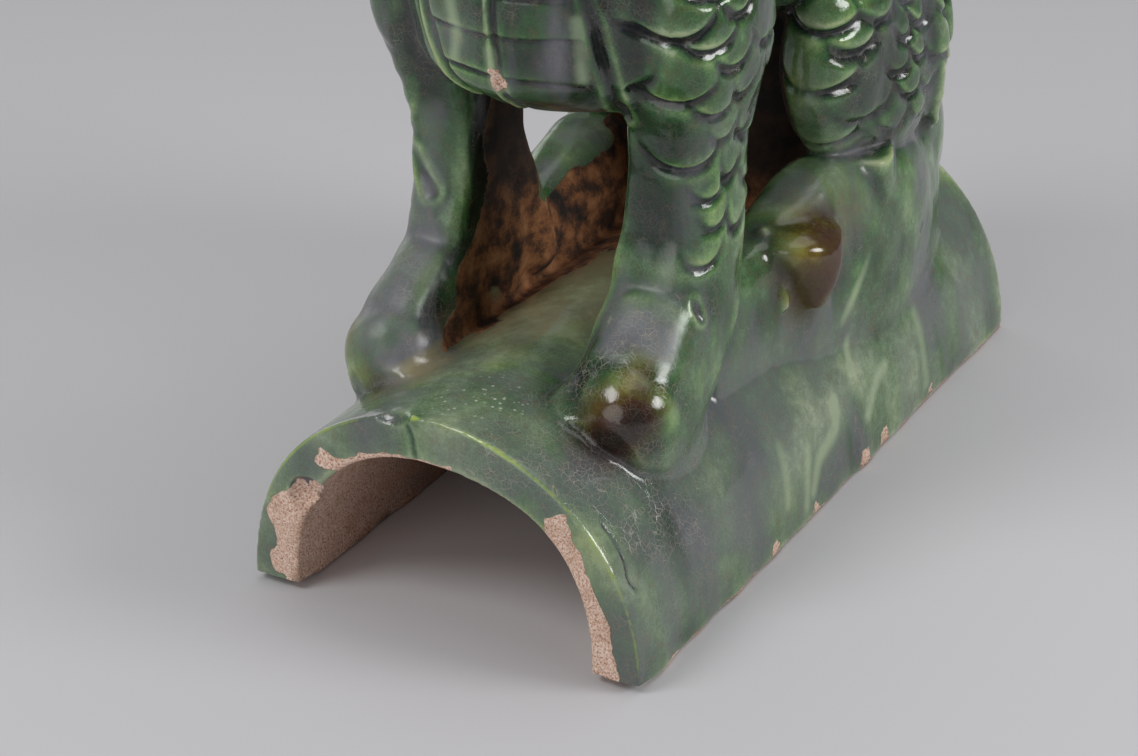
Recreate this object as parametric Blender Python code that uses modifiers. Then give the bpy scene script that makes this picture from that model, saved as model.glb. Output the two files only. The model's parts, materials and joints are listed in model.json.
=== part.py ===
"""Ridge beast ornament: a seated scaled beast on a half-round ridge tile, fired as one piece of glazed clay.

The tile runs along Y and stands on its two long edges. The beast faces -Y.
Metres, +Z up, origin at the middle of the footprint.
"""

import math

import bmesh
import bpy
import numpy as np
from mathutils import Euler, Matrix, Vector

# Tile: outer and inner arches are superellipses, which are flatter on the flanks than a half circle.
TILE_LENGTH = 0.2834
TILE_WIDTH = 0.1400
TILE_HEIGHT = 0.0748
WALL_AT_FOOT = 0.0169
WALL_AT_CROWN = 0.0159
OUTER_ARCH = (1.892, 2.232)
INNER_ARCH = (2.433, 2.433)
ARCH_POINTS = 40

# Beast: heights above the floor, and distances from the middle of the tile.
LEG_X = 0.0405
LEG_Y = -0.0535
BELLY_Z = 0.152
PLATE_PITCH = 0.0140
PLATE_DEPTH = 0.0022
HIND_X = 0.0455
HEAD_Z = 0.288
HEAD_PIVOT = (0, -0.052, 0.275)
HEAD_SHIFT = (0, 0.008, 0.004)
HEAD_SIZE = 1.14
BACK_END = TILE_LENGTH / 2 - 0.004

# Fusing: the voxel that joins the clay forms, and the share of its triangles that stays.
VOXEL = 0.0021
KEPT_SHARE = 0.060

GLAZE_GREEN = (0.067, 0.125, 0.058, 1.0)
GLAZE_ROUGHNESS = 0.18


def clear_scene():
    for old in list(bpy.data.objects):
        bpy.data.objects.remove(old)


def collection(name):
    made = bpy.data.collections.new(name)
    bpy.context.scene.collection.children.link(made)
    return made


def glazed_clay():
    material = bpy.data.materials.new("green_lead_glaze")
    material.use_nodes = True
    shader = material.node_tree.nodes["Principled BSDF"]
    shader.inputs["Base Color"].default_value = GLAZE_GREEN
    shader.inputs["Roughness"].default_value = GLAZE_ROUGHNESS
    shader.inputs["Metallic"].default_value = 0.0
    return material


def arch_outline(half_width, height, powers, points):
    """A superellipse from the right foot over the crown to the left foot, at even angles."""
    angle = np.linspace(0, math.pi, points)
    across = half_width * np.sign(np.cos(angle)) * np.abs(np.cos(angle)) ** (2 / powers[0])
    up = height * np.abs(np.sin(angle)) ** (2 / powers[1])
    return np.stack([across, up], axis=1)


def extruded_arch(name, outline, length, drop=0.0):
    """A 2D outline closed along its foot, extruded along Y. drop lowers the foot line below the floor."""
    curve = bpy.data.curves.new(name, "CURVE")
    curve.dimensions = "2D"
    curve.fill_mode = "BOTH"
    curve.extrude = length / 2
    corners = list(outline)
    if drop:
        corners = [(outline[0][0], -drop)] + corners + [(outline[-1][0], -drop)]
    spline = curve.splines.new("POLY")
    spline.points.add(len(corners) - 1)
    for point, (x, z) in zip(spline.points, corners):
        point.co = (x, z, 0, 1)
    spline.use_cyclic_u = True
    flat = bpy.data.objects.new(name, curve)
    flat.rotation_euler = (math.pi / 2, 0, 0)
    return as_mesh(flat)


def as_mesh(source):
    """The curve object as a welded mesh object with its turn applied."""
    holder = bpy.context.scene.collection
    holder.objects.link(source)
    bpy.context.view_layer.update()
    evaluated = source.evaluated_get(bpy.context.evaluated_depsgraph_get())
    mesh = bpy.data.meshes.new_from_object(evaluated)
    mesh.transform(source.matrix_world)
    name = source.name
    bpy.data.objects.remove(source)
    work = bmesh.new()
    work.from_mesh(mesh)
    bmesh.ops.remove_doubles(work, verts=work.verts, dist=1e-6)
    bmesh.ops.recalc_face_normals(work, faces=work.faces)
    work.to_mesh(mesh)
    work.free()
    return bpy.data.objects.new(name, mesh)


def smooth_path(stations, steps):
    """Catmull-Rom through the stations: each column is eased on its own, steps spans between two stations."""
    rows = np.array(stations, float)
    rows = np.vstack([2 * rows[0] - rows[1], rows, 2 * rows[-1] - rows[-2]])
    share = np.linspace(0, 1, steps, endpoint=False)[:, None]
    spans = []
    for before, start, end, after in zip(rows, rows[1:], rows[2:], rows[3:]):
        spans.append(
            0.5
            * (
                2 * start
                + (end - before) * share
                + (2 * before - 5 * start + 4 * end - after) * share**2
                + (3 * start - before - 3 * end + after) * share**3
            )
        )
    return np.vstack(spans + [rows[-2:-1]])


def loft(form, stations, power=2.4, sides=24, steps=4, pleat=0.0):
    """Adds a closed loft to the bmesh form. A station is (x, y, z, half width, half depth, tilt in degrees).

    Each section is a superellipse in the plane of X and of a line tilted that far up from +Y.
    pleat is the depth of the horizontal grooves between belly plates.
    """
    angle = np.linspace(0, 2 * math.pi, sides, endpoint=False)
    ring = np.stack([np.cos(angle), np.sin(angle)], axis=1)
    ring = np.sign(ring) * np.abs(ring) ** (2 / power)
    rings = []
    for x, y, z, width, depth, tilt in smooth_path(stations, steps):
        lean = math.radians(tilt)
        groove = pleat * abs(math.sin(math.pi * (z - BELLY_Z) / PLATE_PITCH)) ** 0.5
        across, along = ring[:, 0] * width, ring[:, 1] * (depth + groove)
        points = np.stack([x + across, y + along * math.cos(lean), z + along * math.sin(lean)], axis=1)
        rings.append([form.verts.new(point) for point in points])
    faces = [form.faces.new(rings[0][::-1]), form.faces.new(rings[-1])]
    for low, high in zip(rings, rings[1:]):
        for i in range(sides):
            j = (i + 1) % sides
            faces.append(form.faces.new((low[i], low[j], high[j], high[i])))
    return faces


def ball(form, centre, radii, turn=0.0, lean=0.0):
    """Adds an ellipsoid, turned about Z and then leaned about X."""
    turned = Euler((math.radians(lean), 0, math.radians(turn))).to_matrix().to_4x4()
    place = Matrix.Translation(centre) @ turned @ Matrix.Diagonal((*radii, 1))
    bmesh.ops.create_uvsphere(form, u_segments=28, v_segments=18, radius=1, matrix=place)


def tube(form, stations, steps=5):
    """Adds a round tube with closed ends. A station is (x, y, z, radius)."""
    curve = bpy.data.curves.new("tube", "CURVE")
    curve.dimensions = "3D"
    curve.bevel_depth = 1.0
    curve.bevel_resolution = 4
    curve.use_fill_caps = True
    path = smooth_path(stations, steps)
    spline = curve.splines.new("POLY")
    spline.points.add(len(path) - 1)
    for point, (x, y, z, radius) in zip(spline.points, path):
        point.co = (x, y, z, 1)
        point.radius = radius
    welded = as_mesh(bpy.data.objects.new("tube", curve))
    form.from_mesh(welded.data)
    bpy.data.objects.remove(welded)
    ball(form, path[-1][:3], (path[-1][3],) * 3)


def foreleg(form):
    """Shoulder, straight leg and the foot that steps down over the tile's shoulder, on the +X side."""
    loft(
        form,
        [
            (0.0330, -0.052, 0.222, 0.0100, 0.0200, 0),
            (0.0405, -0.056, 0.208, 0.0150, 0.0260, 0),
            (0.0440, -0.058, 0.190, 0.0175, 0.0280, 0),
            (0.0440, -0.057, 0.170, 0.0175, 0.0260, 0),
            (0.0420, -0.055, 0.152, 0.0150, 0.0215, 0),
            (LEG_X, LEG_Y, 0.134, 0.0135, 0.0190, 0),
            (LEG_X, LEG_Y, 0.116, 0.0135, 0.0195, 0),
            (LEG_X, -0.058, 0.102, 0.0140, 0.0210, -12),
            (LEG_X, -0.067, 0.089, 0.0150, 0.0240, -25),
            (LEG_X, -0.078, 0.076, 0.0160, 0.0250, -38),
            (LEG_X, -0.086, 0.062, 0.0155, 0.0240, -44),
        ],
        power=2.8,
    )
    ball(form, (0.0410, -0.0945, 0.064), (0.0175, 0.0240, 0.0210), lean=38)
    ball(form, (0.0430, -0.0990, 0.061), (0.0150, 0.0190, 0.0170), lean=38)
    loft(
        form,
        [
            (0.0400, -0.086, 0.030, 0.0160, 0.0260, 0),
            (0.0410, -0.084, 0.055, 0.0150, 0.0240, 0),
            (0.0410, -0.078, 0.080, 0.0130, 0.0180, 0),
        ],
        power=2.2,
    )


def hind_leg(form):
    """Haunch, knee, and the foot with its raised toe, on the +X side."""
    ball(form, (HIND_X - 0.003, 0.074, 0.128), (0.0190, 0.0380, 0.0440), lean=14)
    ball(form, (HIND_X - 0.004, 0.051, 0.137), (0.0165, 0.0330, 0.0390))
    ball(form, (HIND_X - 0.008, 0.101, 0.086), (0.0180, 0.0300, 0.0380), lean=25)
    loft(
        form,
        [
            (0.0400, 0.110, 0.055, 0.0150, 0.0360, 90),
            (0.0440, 0.085, 0.058, 0.0170, 0.0390, 90),
            (0.0450, 0.062, 0.060, 0.0180, 0.0400, 90),
            (0.0445, 0.042, 0.062, 0.0175, 0.0400, 86),
            (0.0430, 0.022, 0.062, 0.0160, 0.0420, 90),
            (0.0425, 0.004, 0.060, 0.0145, 0.0400, 90),
            (0.0410, -0.014, 0.058, 0.0120, 0.0355, 90),
            (0.0405, -0.034, 0.056, 0.0105, 0.0350, 90),
            (0.0405, -0.054, 0.056, 0.0095, 0.0380, 90),
        ],
        power=2.4,
    )
    ball(form, (0.0515, 0.0170, 0.0700), (0.0130, 0.0150, 0.0155))
    for x, y, drop in ((0.0550, 0.078, 0.004), (0.0490, 0.091, 0.0), (0.0410, 0.103, -0.002)):
        tube(
            form,
            [
                (x - 0.008, y - 0.012, 0.176 - drop, 0.0030),
                (x - 0.001, y - 0.002, 0.154 - drop, 0.0055),
                (x, y + 0.003, 0.130 - drop, 0.0062),
                (x - 0.001, y + 0.006, 0.110 - drop, 0.0045),
                (x - 0.002, y + 0.008, 0.099 - drop, 0.0020),
            ],
        )


def trunk(form):
    """Chest with its prow, belly above the open gap, back sloping to the rump, and the clay below the rump."""
    loft(
        form,
        [
            (0, -0.052, BELLY_Z - 0.001, 0.0300, 0.0230, 0),
            (0, -0.052, 0.158, 0.0420, 0.0385, 0),
            (0, -0.053, 0.166, 0.0470, 0.0475, 0),
            (0, -0.054, 0.178, 0.0490, 0.0495, 0),
            (0, -0.055, 0.192, 0.0500, 0.0505, 0),
            (0, -0.056, 0.214, 0.0480, 0.0495, 0),
            (0, -0.057, 0.236, 0.0410, 0.0440, 0),
            (0, -0.060, 0.258, 0.0350, 0.0390, -6),
            (0, -0.064, 0.280, 0.0320, 0.0340, -10),
        ],
        power=2.0,
        sides=32,
        steps=10,
        pleat=PLATE_DEPTH,
    )
    loft(
        form,
        [
            (0, -0.080, 0.184, 0.0330, 0.0290, 90),
            (0, -0.064, 0.187, 0.0440, 0.0395, 90),
            (0, -0.040, 0.193, 0.0470, 0.0440, 90),
            (0, 0.000, 0.192, 0.0460, 0.0400, 90),
            (0, 0.040, 0.176, 0.0460, 0.0330, 90),
            (0, 0.075, 0.152, 0.0440, 0.0400, 90),
            (0, 0.102, 0.126, 0.0400, 0.0440, 90),
            (0, 0.122, 0.104, 0.0340, 0.0400, 90),
            (0, BACK_END - 0.002, 0.094, 0.0220, 0.0280, 90),
        ],
        power=2.3,
        sides=28,
    )
    loft(
        form,
        [
            (0, 0.085, 0.050, 0.0400, 0.0480, 0),
            (0, 0.086, 0.100, 0.0380, 0.0480, 0),
            (0, 0.080, 0.150, 0.0380, 0.0400, 0),
        ],
        power=3.0,
    )


def chest_strap(form):
    """The raised band that parts the belly plates from the scaled shoulder."""
    tube(
        form,
        [
            (0.0300, -0.080, 0.154, 0.0026),
            (0.0318, -0.0865, 0.166, 0.0034),
            (0.0326, -0.0940, 0.184, 0.0034),
            (0.0326, -0.0985, 0.204, 0.0034),
            (0.0290, -0.0985, 0.226, 0.0030),
            (0.0240, -0.0960, 0.246, 0.0022),
        ],
    )


def skull(form):
    """Brow, muzzle, open mouth, tongue and chin tuft."""
    ball(form, (0, -0.066, HEAD_Z + 0.004), (0.0340, 0.0370, 0.0300))
    loft(
        form,
        [
            (0, -0.074, HEAD_Z + 0.002, 0.0310, 0.0210, 90),
            (0, -0.094, HEAD_Z + 0.001, 0.0265, 0.0165, 90),
            (0, -0.110, HEAD_Z + 0.002, 0.0240, 0.0145, 90),
            (0, -0.122, HEAD_Z + 0.005, 0.0225, 0.0140, 90),
            (0, -0.130, HEAD_Z + 0.006, 0.0170, 0.0100, 90),
        ],
        power=2.6,
    )
    loft(
        form,
        [
            (0, -0.068, HEAD_Z - 0.026, 0.0280, 0.0150, 90),
            (0, -0.088, HEAD_Z - 0.034, 0.0230, 0.0105, 90),
            (0, -0.104, HEAD_Z - 0.036, 0.0195, 0.0085, 90),
            (0, -0.116, HEAD_Z - 0.032, 0.0140, 0.0065, 90),
        ],
        power=2.6,
    )
    ball(form, (0, -0.101, HEAD_Z - 0.022), (0.0095, 0.0190, 0.0040), lean=-8)
    ball(form, (0, -0.123, HEAD_Z + 0.018), (0.0105, 0.0100, 0.0080))
    for x in (-0.011, 0.0, 0.011):
        tube(
            form,
            [
                (x, -0.107, HEAD_Z - 0.038, 0.0052),
                (x * 1.1, -0.109, HEAD_Z - 0.050, 0.0052),
                (x * 1.2, -0.105, HEAD_Z - 0.061, 0.0036),
                (x * 1.3, -0.100, HEAD_Z - 0.067, 0.0016),
            ],
        )


def half_head(form):
    """Eye, brow, nostril, lip, fang, ear and horn on the +X side."""
    ball(form, (0.0235, -0.092, HEAD_Z + 0.015), (0.0095, 0.0095, 0.0100))
    ball(form, (0.0125, -0.124, HEAD_Z + 0.014), (0.0085, 0.0080, 0.0075))
    tube(
        form,
        [
            (0.0100, -0.101, HEAD_Z + 0.020, 0.0040),
            (0.0225, -0.098, HEAD_Z + 0.028, 0.0046),
            (0.0320, -0.086, HEAD_Z + 0.025, 0.0044),
            (0.0355, -0.072, HEAD_Z + 0.020, 0.0038),
            (0.0380, -0.060, HEAD_Z + 0.021, 0.0022),
        ],
    )
    tube(
        form,
        [
            (0.0100, -0.131, HEAD_Z - 0.004, 0.0040),
            (0.0210, -0.121, HEAD_Z - 0.008, 0.0042),
            (0.0265, -0.104, HEAD_Z - 0.011, 0.0040),
            (0.0300, -0.088, HEAD_Z - 0.016, 0.0038),
            (0.0290, -0.079, HEAD_Z - 0.028, 0.0034),
        ],
    )
    tube(
        form,
        [
            (0.0150, -0.121, HEAD_Z - 0.008, 0.0032),
            (0.0155, -0.121, HEAD_Z - 0.016, 0.0023),
            (0.0155, -0.119, HEAD_Z - 0.022, 0.0011),
        ],
    )
    loft(
        form,
        [
            (0.0290, -0.058, HEAD_Z + 0.010, 0.0070, 0.0090, 10),
            (0.0390, -0.050, HEAD_Z + 0.022, 0.0056, 0.0115, 10),
            (0.0475, -0.041, HEAD_Z + 0.034, 0.0040, 0.0080, 10),
            (0.0510, -0.034, HEAD_Z + 0.044, 0.0018, 0.0026, 10),
        ],
        sides=16,
    )
    tube(
        form,
        [
            (0.0130, -0.072, HEAD_Z + 0.026, 0.0070),
            (0.0145, -0.058, HEAD_Z + 0.042, 0.0064),
            (0.0165, -0.038, HEAD_Z + 0.051, 0.0050),
            (0.0180, -0.020, HEAD_Z + 0.054, 0.0034),
            (0.0175, -0.008, HEAD_Z + 0.052, 0.0018),
        ],
    )


def ruff(form):
    """Snail curls round the back of the head."""
    for step in range(9):
        angle = math.radians(-48 + step * 34.5)
        centre = (0.0365 * math.cos(angle), -0.044, HEAD_Z + 0.001 + 0.0345 * math.sin(angle))
        ball(form, centre, (0.0115, 0.0115, 0.0115))


def mane(form):
    """Three columns of snail curls down the back of the neck."""
    for row in range(4):
        for column in (-1, 0, 1):
            back = -0.012 + 0.0075 * row - 0.0030 * abs(column)
            high = HEAD_Z + 0.002 - 0.0215 * row - 0.0040 * abs(column)
            ball(form, (0.0215 * column, back, high), (0.0118, 0.0115, 0.0122))


def tail(form):
    """A flame of locks that rises up the back from the rump."""
    tube(
        form,
        [
            (0, 0.118, 0.100, 0.0120),
            (0, 0.124, 0.130, 0.0135),
            (0, 0.118, 0.162, 0.0125),
            (0, 0.106, 0.190, 0.0095),
            (0, 0.104, 0.210, 0.0060),
            (0, 0.112, 0.226, 0.0022),
        ],
    )
    for side in (-1, 1):
        tube(
            form,
            [
                (side * 0.008, 0.122, 0.106, 0.0080),
                (side * 0.018, 0.126, 0.134, 0.0085),
                (side * 0.023, 0.118, 0.158, 0.0070),
                (side * 0.021, 0.108, 0.176, 0.0045),
                (side * 0.025, 0.108, 0.190, 0.0018),
            ],
        )


def mirrored(form):
    """Adds the -X copy of everything in the bmesh form."""
    copy = bmesh.ops.duplicate(form, geom=form.verts[:] + form.edges[:] + form.faces[:])["geom"]
    for vert in (item for item in copy if isinstance(item, bmesh.types.BMVert)):
        vert.co.x = -vert.co.x
    bmesh.ops.reverse_faces(form, faces=[item for item in copy if isinstance(item, bmesh.types.BMFace)])


def head():
    """The whole head with its ruff, enlarged about the top of the neck and set back over the chest."""
    form = bmesh.new()
    half_head(form)
    mirrored(form)
    skull(form)
    ruff(form)
    pivot = Vector(HEAD_PIVOT)
    grow = Matrix.Translation(pivot + Vector(HEAD_SHIFT)) @ Matrix.Scale(HEAD_SIZE, 4) @ Matrix.Translation(-pivot)
    bmesh.ops.transform(form, matrix=grow, verts=form.verts)
    return form


def beast():
    """All the clay forms of the beast, overlapping, in one object."""
    form = bmesh.new()
    for half in (foreleg, hind_leg, chest_strap):
        half(form)
    mirrored(form)
    for whole in (trunk, mane, tail):
        whole(form)
    top = head()
    top_mesh = bpy.data.meshes.new("head")
    top.to_mesh(top_mesh)
    top.free()
    form.from_mesh(top_mesh)
    bpy.data.meshes.remove(top_mesh)
    bmesh.ops.recalc_face_normals(form, faces=form.faces)
    mesh = bpy.data.meshes.new("beast")
    form.to_mesh(mesh)
    form.free()
    return bpy.data.objects.new("ridge_beast_tile", mesh)


def fused(item):
    """Joins the overlapping forms, softens the joins as a wet sponge would, and thins the triangles."""
    join = item.modifiers.new("join_clay", "REMESH")
    join.mode = "VOXEL"
    join.voxel_size = VOXEL
    soften = item.modifiers.new("soften_joins", "SMOOTH")
    soften.factor = 0.5
    soften.iterations = 3
    thin = item.modifiers.new("thin_triangles", "DECIMATE")
    thin.ratio = KEPT_SHARE


def boolean(item, operation, other):
    step = item.modifiers.new(other.name, "BOOLEAN")
    step.operation = operation
    step.object = other


def main():
    clear_scene()
    parts = collection("ridge_beast_ornament")
    helpers = collection("helpers")
    outer = arch_outline(TILE_WIDTH / 2, TILE_HEIGHT, OUTER_ARCH, ARCH_POINTS)
    inner = arch_outline(
        TILE_WIDTH / 2 - WALL_AT_FOOT, TILE_HEIGHT - WALL_AT_CROWN, INNER_ARCH, ARCH_POINTS
    )
    tile = extruded_arch("half_round_tile", outer, TILE_LENGTH)
    tunnel = extruded_arch("tunnel", inner, 2 * TILE_LENGTH, drop=0.02)
    item = beast()
    item.data.materials.append(glazed_clay())
    parts.objects.link(item)
    for helper in (tile, tunnel):
        helpers.objects.link(helper)
        helper.hide_render = True
        helper.display_type = "WIRE"
    fused(item)
    boolean(item, "UNION", tile)
    boolean(item, "DIFFERENCE", tunnel)


main()
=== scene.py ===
# %% [markdown]
# # A seated beast on a ridge tile, in green lead glaze
#
# The real object is one piece of fired clay: a half-round ridge tile with a scaled beast sitting on it,
# built up by hand from slabs, coils and balls of clay, cut with a gouge, then covered with green lead
# glaze. This lesson builds it the same way: plain clay forms first, then one skin over all of them, then
# the tool marks, then the glaze. The beast faces -Y, the tile runs along Y, and +Z is up.

import json
import math

import bpy
import numpy as np
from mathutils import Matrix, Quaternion, Vector

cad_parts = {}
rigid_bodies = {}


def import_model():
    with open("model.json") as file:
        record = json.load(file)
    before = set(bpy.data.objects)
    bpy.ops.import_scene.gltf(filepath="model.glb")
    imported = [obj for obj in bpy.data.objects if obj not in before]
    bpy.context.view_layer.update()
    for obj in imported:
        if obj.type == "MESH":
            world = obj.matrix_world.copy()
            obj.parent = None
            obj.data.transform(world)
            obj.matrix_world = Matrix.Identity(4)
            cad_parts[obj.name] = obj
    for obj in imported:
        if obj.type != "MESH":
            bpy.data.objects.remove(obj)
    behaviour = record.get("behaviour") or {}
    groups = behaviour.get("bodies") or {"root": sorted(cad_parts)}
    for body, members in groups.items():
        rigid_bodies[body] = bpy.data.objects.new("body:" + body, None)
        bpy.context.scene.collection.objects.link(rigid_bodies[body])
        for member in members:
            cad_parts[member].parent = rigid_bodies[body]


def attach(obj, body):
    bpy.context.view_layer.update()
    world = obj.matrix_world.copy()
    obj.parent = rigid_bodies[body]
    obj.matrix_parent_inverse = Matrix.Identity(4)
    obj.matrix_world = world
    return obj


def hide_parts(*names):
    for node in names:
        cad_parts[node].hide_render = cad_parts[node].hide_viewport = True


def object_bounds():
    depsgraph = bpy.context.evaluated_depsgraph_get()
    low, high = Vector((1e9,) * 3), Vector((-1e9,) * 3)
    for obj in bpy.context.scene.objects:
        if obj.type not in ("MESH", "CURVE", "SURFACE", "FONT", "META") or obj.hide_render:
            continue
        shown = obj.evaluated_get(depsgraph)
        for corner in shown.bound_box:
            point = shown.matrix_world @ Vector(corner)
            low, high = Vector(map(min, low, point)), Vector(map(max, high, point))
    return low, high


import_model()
cad_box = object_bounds()
cad_low, cad_high = (np.array(corner) for corner in cad_box)
print("frame box in mm:", np.round(cad_low * 1000, 1), np.round(cad_high * 1000, 1))

# %% [markdown]
# ## The camera
#
# The view looks down on the front right corner, close enough that the beast's upper half stays outside it.
# A long lens keeps the tile's edges nearly parallel. The camera could be aimed with a constraint, but a
# place worked out from two angles and a distance says what the view is.

# %% Camera
CAMERA_AROUND = math.radians(30.33)
CAMERA_ABOVE = math.radians(27.37)
CAMERA_ROLL = math.radians(-0.83)
CAMERA_DISTANCE = 0.965
CAMERA_AIM = Vector((-0.0358, 0.0, 0.0161))

camera = bpy.data.objects.new("camera", bpy.data.cameras.new("camera"))
camera.data.lens = 87.0
camera.data.sensor_width = 36.0
camera.data.clip_end = 20.0
towards_camera = Vector(
    (
        math.sin(CAMERA_AROUND) * math.cos(CAMERA_ABOVE),
        -math.cos(CAMERA_AROUND) * math.cos(CAMERA_ABOVE),
        math.sin(CAMERA_ABOVE),
    )
)
camera.location = CAMERA_AIM + towards_camera * CAMERA_DISTANCE
camera.rotation_mode = "QUATERNION"
aimed = (-towards_camera).to_track_quat("-Z", "Y")
camera.rotation_quaternion = aimed @ Quaternion((0, 0, 1), CAMERA_ROLL)
bpy.context.scene.collection.objects.link(camera)
bpy.context.scene.camera = camera
print("camera at", [round(v, 3) for v in camera.location])

# %% [markdown]
# ## Closed shells from stacked rings
#
# Every clay form here, a leg, a ball or a curl, is a stack of closed rings. The points are one array of
# shape (rings, points in a ring, 3), so the whole form is worked out at once, and the same function turns
# any such stack into triangles. A pole at each end closes it.


# %% Shells
def outward(points, faces):
    """The triangles turned to face out, so that the signed volume, the sum of a . (b x c) / 6, is positive."""
    a, b, c = np.moveaxis(points[faces], 1, 0)
    return faces if np.einsum("ij,ij->", a, np.cross(b, c)) > 0 else faces[:, ::-1]


def shell(rings, first_pole, last_pole):
    """A closed surface through the rings: two triangles for each grid cell and a fan to each pole."""
    count, sides, _ = rings.shape
    points = np.vstack([rings.reshape(-1, 3), first_pole, last_pole])
    at = np.arange(count * sides).reshape(count, sides)
    low, high = at[:-1], at[1:]
    low_next, high_next = np.roll(low, -1, 1), np.roll(high, -1, 1)
    quads = np.stack([low, low_next, high_next, high], -1).reshape(-1, 4)
    ends = [
        np.stack([np.full(sides, count * sides), np.roll(at[0], -1), at[0]], -1),
        np.stack([np.full(sides, count * sides + 1), at[-1], np.roll(at[-1], -1)], -1),
    ]
    faces = np.vstack([quads[:, [0, 1, 2]], quads[:, [0, 2, 3]], *ends])
    return points, outward(points, faces)


def smooth_path(stations, steps):
    """A Catmull-Rom curve through the stations, each column eased on its own, steps spans to a station."""
    rows = np.array(stations, float)
    rows = np.vstack([2 * rows[0] - rows[1], rows, 2 * rows[-1] - rows[-2]])
    before, start, end, after = rows[:-3, None], rows[1:-2, None], rows[2:-1, None], rows[3:, None]
    share = np.linspace(0, 1, steps, endpoint=False)[None, :, None]
    eased = 0.5 * (
        2 * start
        + (end - before) * share
        + (2 * before - 5 * start + 4 * end - after) * share**2
        + (3 * start - before - 3 * end + after) * share**3
    )
    return np.vstack([eased.reshape(-1, rows.shape[1]), rows[-2]])


def superellipse(outer_power, inner_power, sides):
    """Points round |x|^p + |y|^p = 1, with one power in the +x half and another in the -x half."""
    angle = np.linspace(0, 2 * np.pi, sides, endpoint=False)
    power = np.where(np.cos(angle) > 0, outer_power, inner_power)[:, None]
    ring = np.stack([np.cos(angle), np.sin(angle)], -1)
    return np.sign(ring) * np.abs(ring) ** (2 / power)


def loft(stations, power=2.4, inner_power=None, sides=72, steps=10):
    """A form carried through stations (x, y, z, half width, half depth, tilt in degrees).

    Each section is a superellipse in the plane of X and of a line tilted that far up from +Y. A higher
    power squares its corners, and inner_power does so on the side towards the middle only.
    """
    ring = superellipse(power, inner_power or power, sides)
    path = smooth_path(stations, steps)
    middle, width, depth, lean = path[:, :3], path[:, 3:4], path[:, 4:5], np.radians(path[:, 5:6])
    across, along = ring[:, 0] * width, ring[:, 1] * depth
    offset = np.stack([across, along * np.cos(lean), along * np.sin(lean)], -1)
    return shell(middle[:, None] + offset, middle[0], middle[-1])


def turn_matrix(turn, lean):
    """Lean about X first, then turn about Z, both in degrees."""
    t, e = math.radians(turn), math.radians(lean)
    about_z = np.array([[math.cos(t), -math.sin(t), 0], [math.sin(t), math.cos(t), 0], [0, 0, 1]])
    about_x = np.array([[1, 0, 0], [0, math.cos(e), -math.sin(e)], [0, math.sin(e), math.cos(e)]])
    return about_z @ about_x


def sphere_grid(around, up):
    """The angles a from the pole and b round it, and the points (sin a cos b, sin a sin b, cos a)."""
    a = np.linspace(0, np.pi, up + 2)[1:-1, None]
    b = np.linspace(0, 2 * np.pi, around, endpoint=False)[None]
    return a, b, np.stack([np.sin(a) * np.cos(b), np.sin(a) * np.sin(b), np.cos(a) + 0 * b], -1)


def ball(centre, radii, turn=0.0, lean=0.0, around=56, up=34):
    """An ellipsoid: the points of a unit sphere times its radii, leaned, turned and moved."""
    _, _, unit = sphere_grid(around, up)
    turned = turn_matrix(turn, lean)
    pole = turned @ np.array([0, 0, radii[2]])
    return shell(unit * np.array(radii) @ turned.T + centre, centre + pole, centre - pole)


def one_long(vector):
    """The same direction with length 1."""
    return np.array(vector, float) / np.linalg.norm(vector)


def tube(stations, steps=8, sides=40, flutes=0, flute_depth=0.0):
    """A round rope of clay along stations (x, y, z, radius), with a half ball at each end.

    The ring stands square to the path: its two directions are the tangent crossed with the axis that the
    path moves along least. flutes are grooves that run the length of the rope.
    """
    path = smooth_path(stations, steps)
    cap = np.linspace(0, np.pi / 2, 8)[:-1]
    heading = one_long(path[-1, :3] - path[-2, :3])
    tail = one_long(path[0, :3] - path[1, :3])
    start = np.hstack(
        [path[0, :3] + np.outer(np.cos(cap), tail) * path[0, 3], np.sin(cap)[:, None] * path[0, 3] + 1e-5]
    )
    end = np.hstack(
        [
            path[-1, :3] + np.outer(np.cos(cap[::-1]), heading) * path[-1, 3],
            np.sin(cap[::-1])[:, None] * path[-1, 3] + 1e-5,
        ]
    )
    path = np.vstack([start, path, end])
    middle, radius = path[:, :3], path[:, 3]
    tangent = np.gradient(middle, axis=0)
    tangent = tangent / np.linalg.norm(tangent, axis=1, keepdims=True)
    still = np.eye(3)[np.argmin(np.ptp(middle, axis=0))]
    side = np.cross(tangent, still)
    side = side / np.linalg.norm(side, axis=1, keepdims=True)
    other = np.cross(tangent, side)
    angle = np.linspace(0, 2 * np.pi, sides, endpoint=False)
    grooved = 1 - flute_depth * np.abs(np.cos(angle * flutes / 2)) ** 4 if flutes else np.ones(sides)
    rings = middle[:, None] + (radius[:, None] * grooved)[..., None] * (
        np.cos(angle)[None, :, None] * side[:, None] + np.sin(angle)[None, :, None] * other[:, None]
    )
    return shell(rings, middle[0], middle[-1])


def swung(made, centre, turn):
    """The same form turned about an upright line through centre."""
    points, faces = made
    return (points - centre) @ turn_matrix(turn, 0).T + centre, faces


def mirrored(shells):
    """The -X copy of each shell, with its triangles turned to face out again."""
    return [(points * (-1, 1, 1), faces[:, ::-1]) for points, faces in shells]


test_points, test_faces = ball((0, 0, 0), (0.01, 0.01, 0.01))
print("a ball has", len(test_points), "points and", len(test_faces), "triangles")

# %% [markdown]
# ## The ridge tile
#
# The potter bent a slab of clay over a half-round former. Its outer and inner arches are superellipses,
# |x/a|^p + |z/b|^q = 1, a little fuller on the flanks than a half circle. It could be a curve with a
# bevel, but one closed loop of points, outer arch out and inner arch back, carried along Y, gives the two
# end faces the wall's true thickness.

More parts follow.
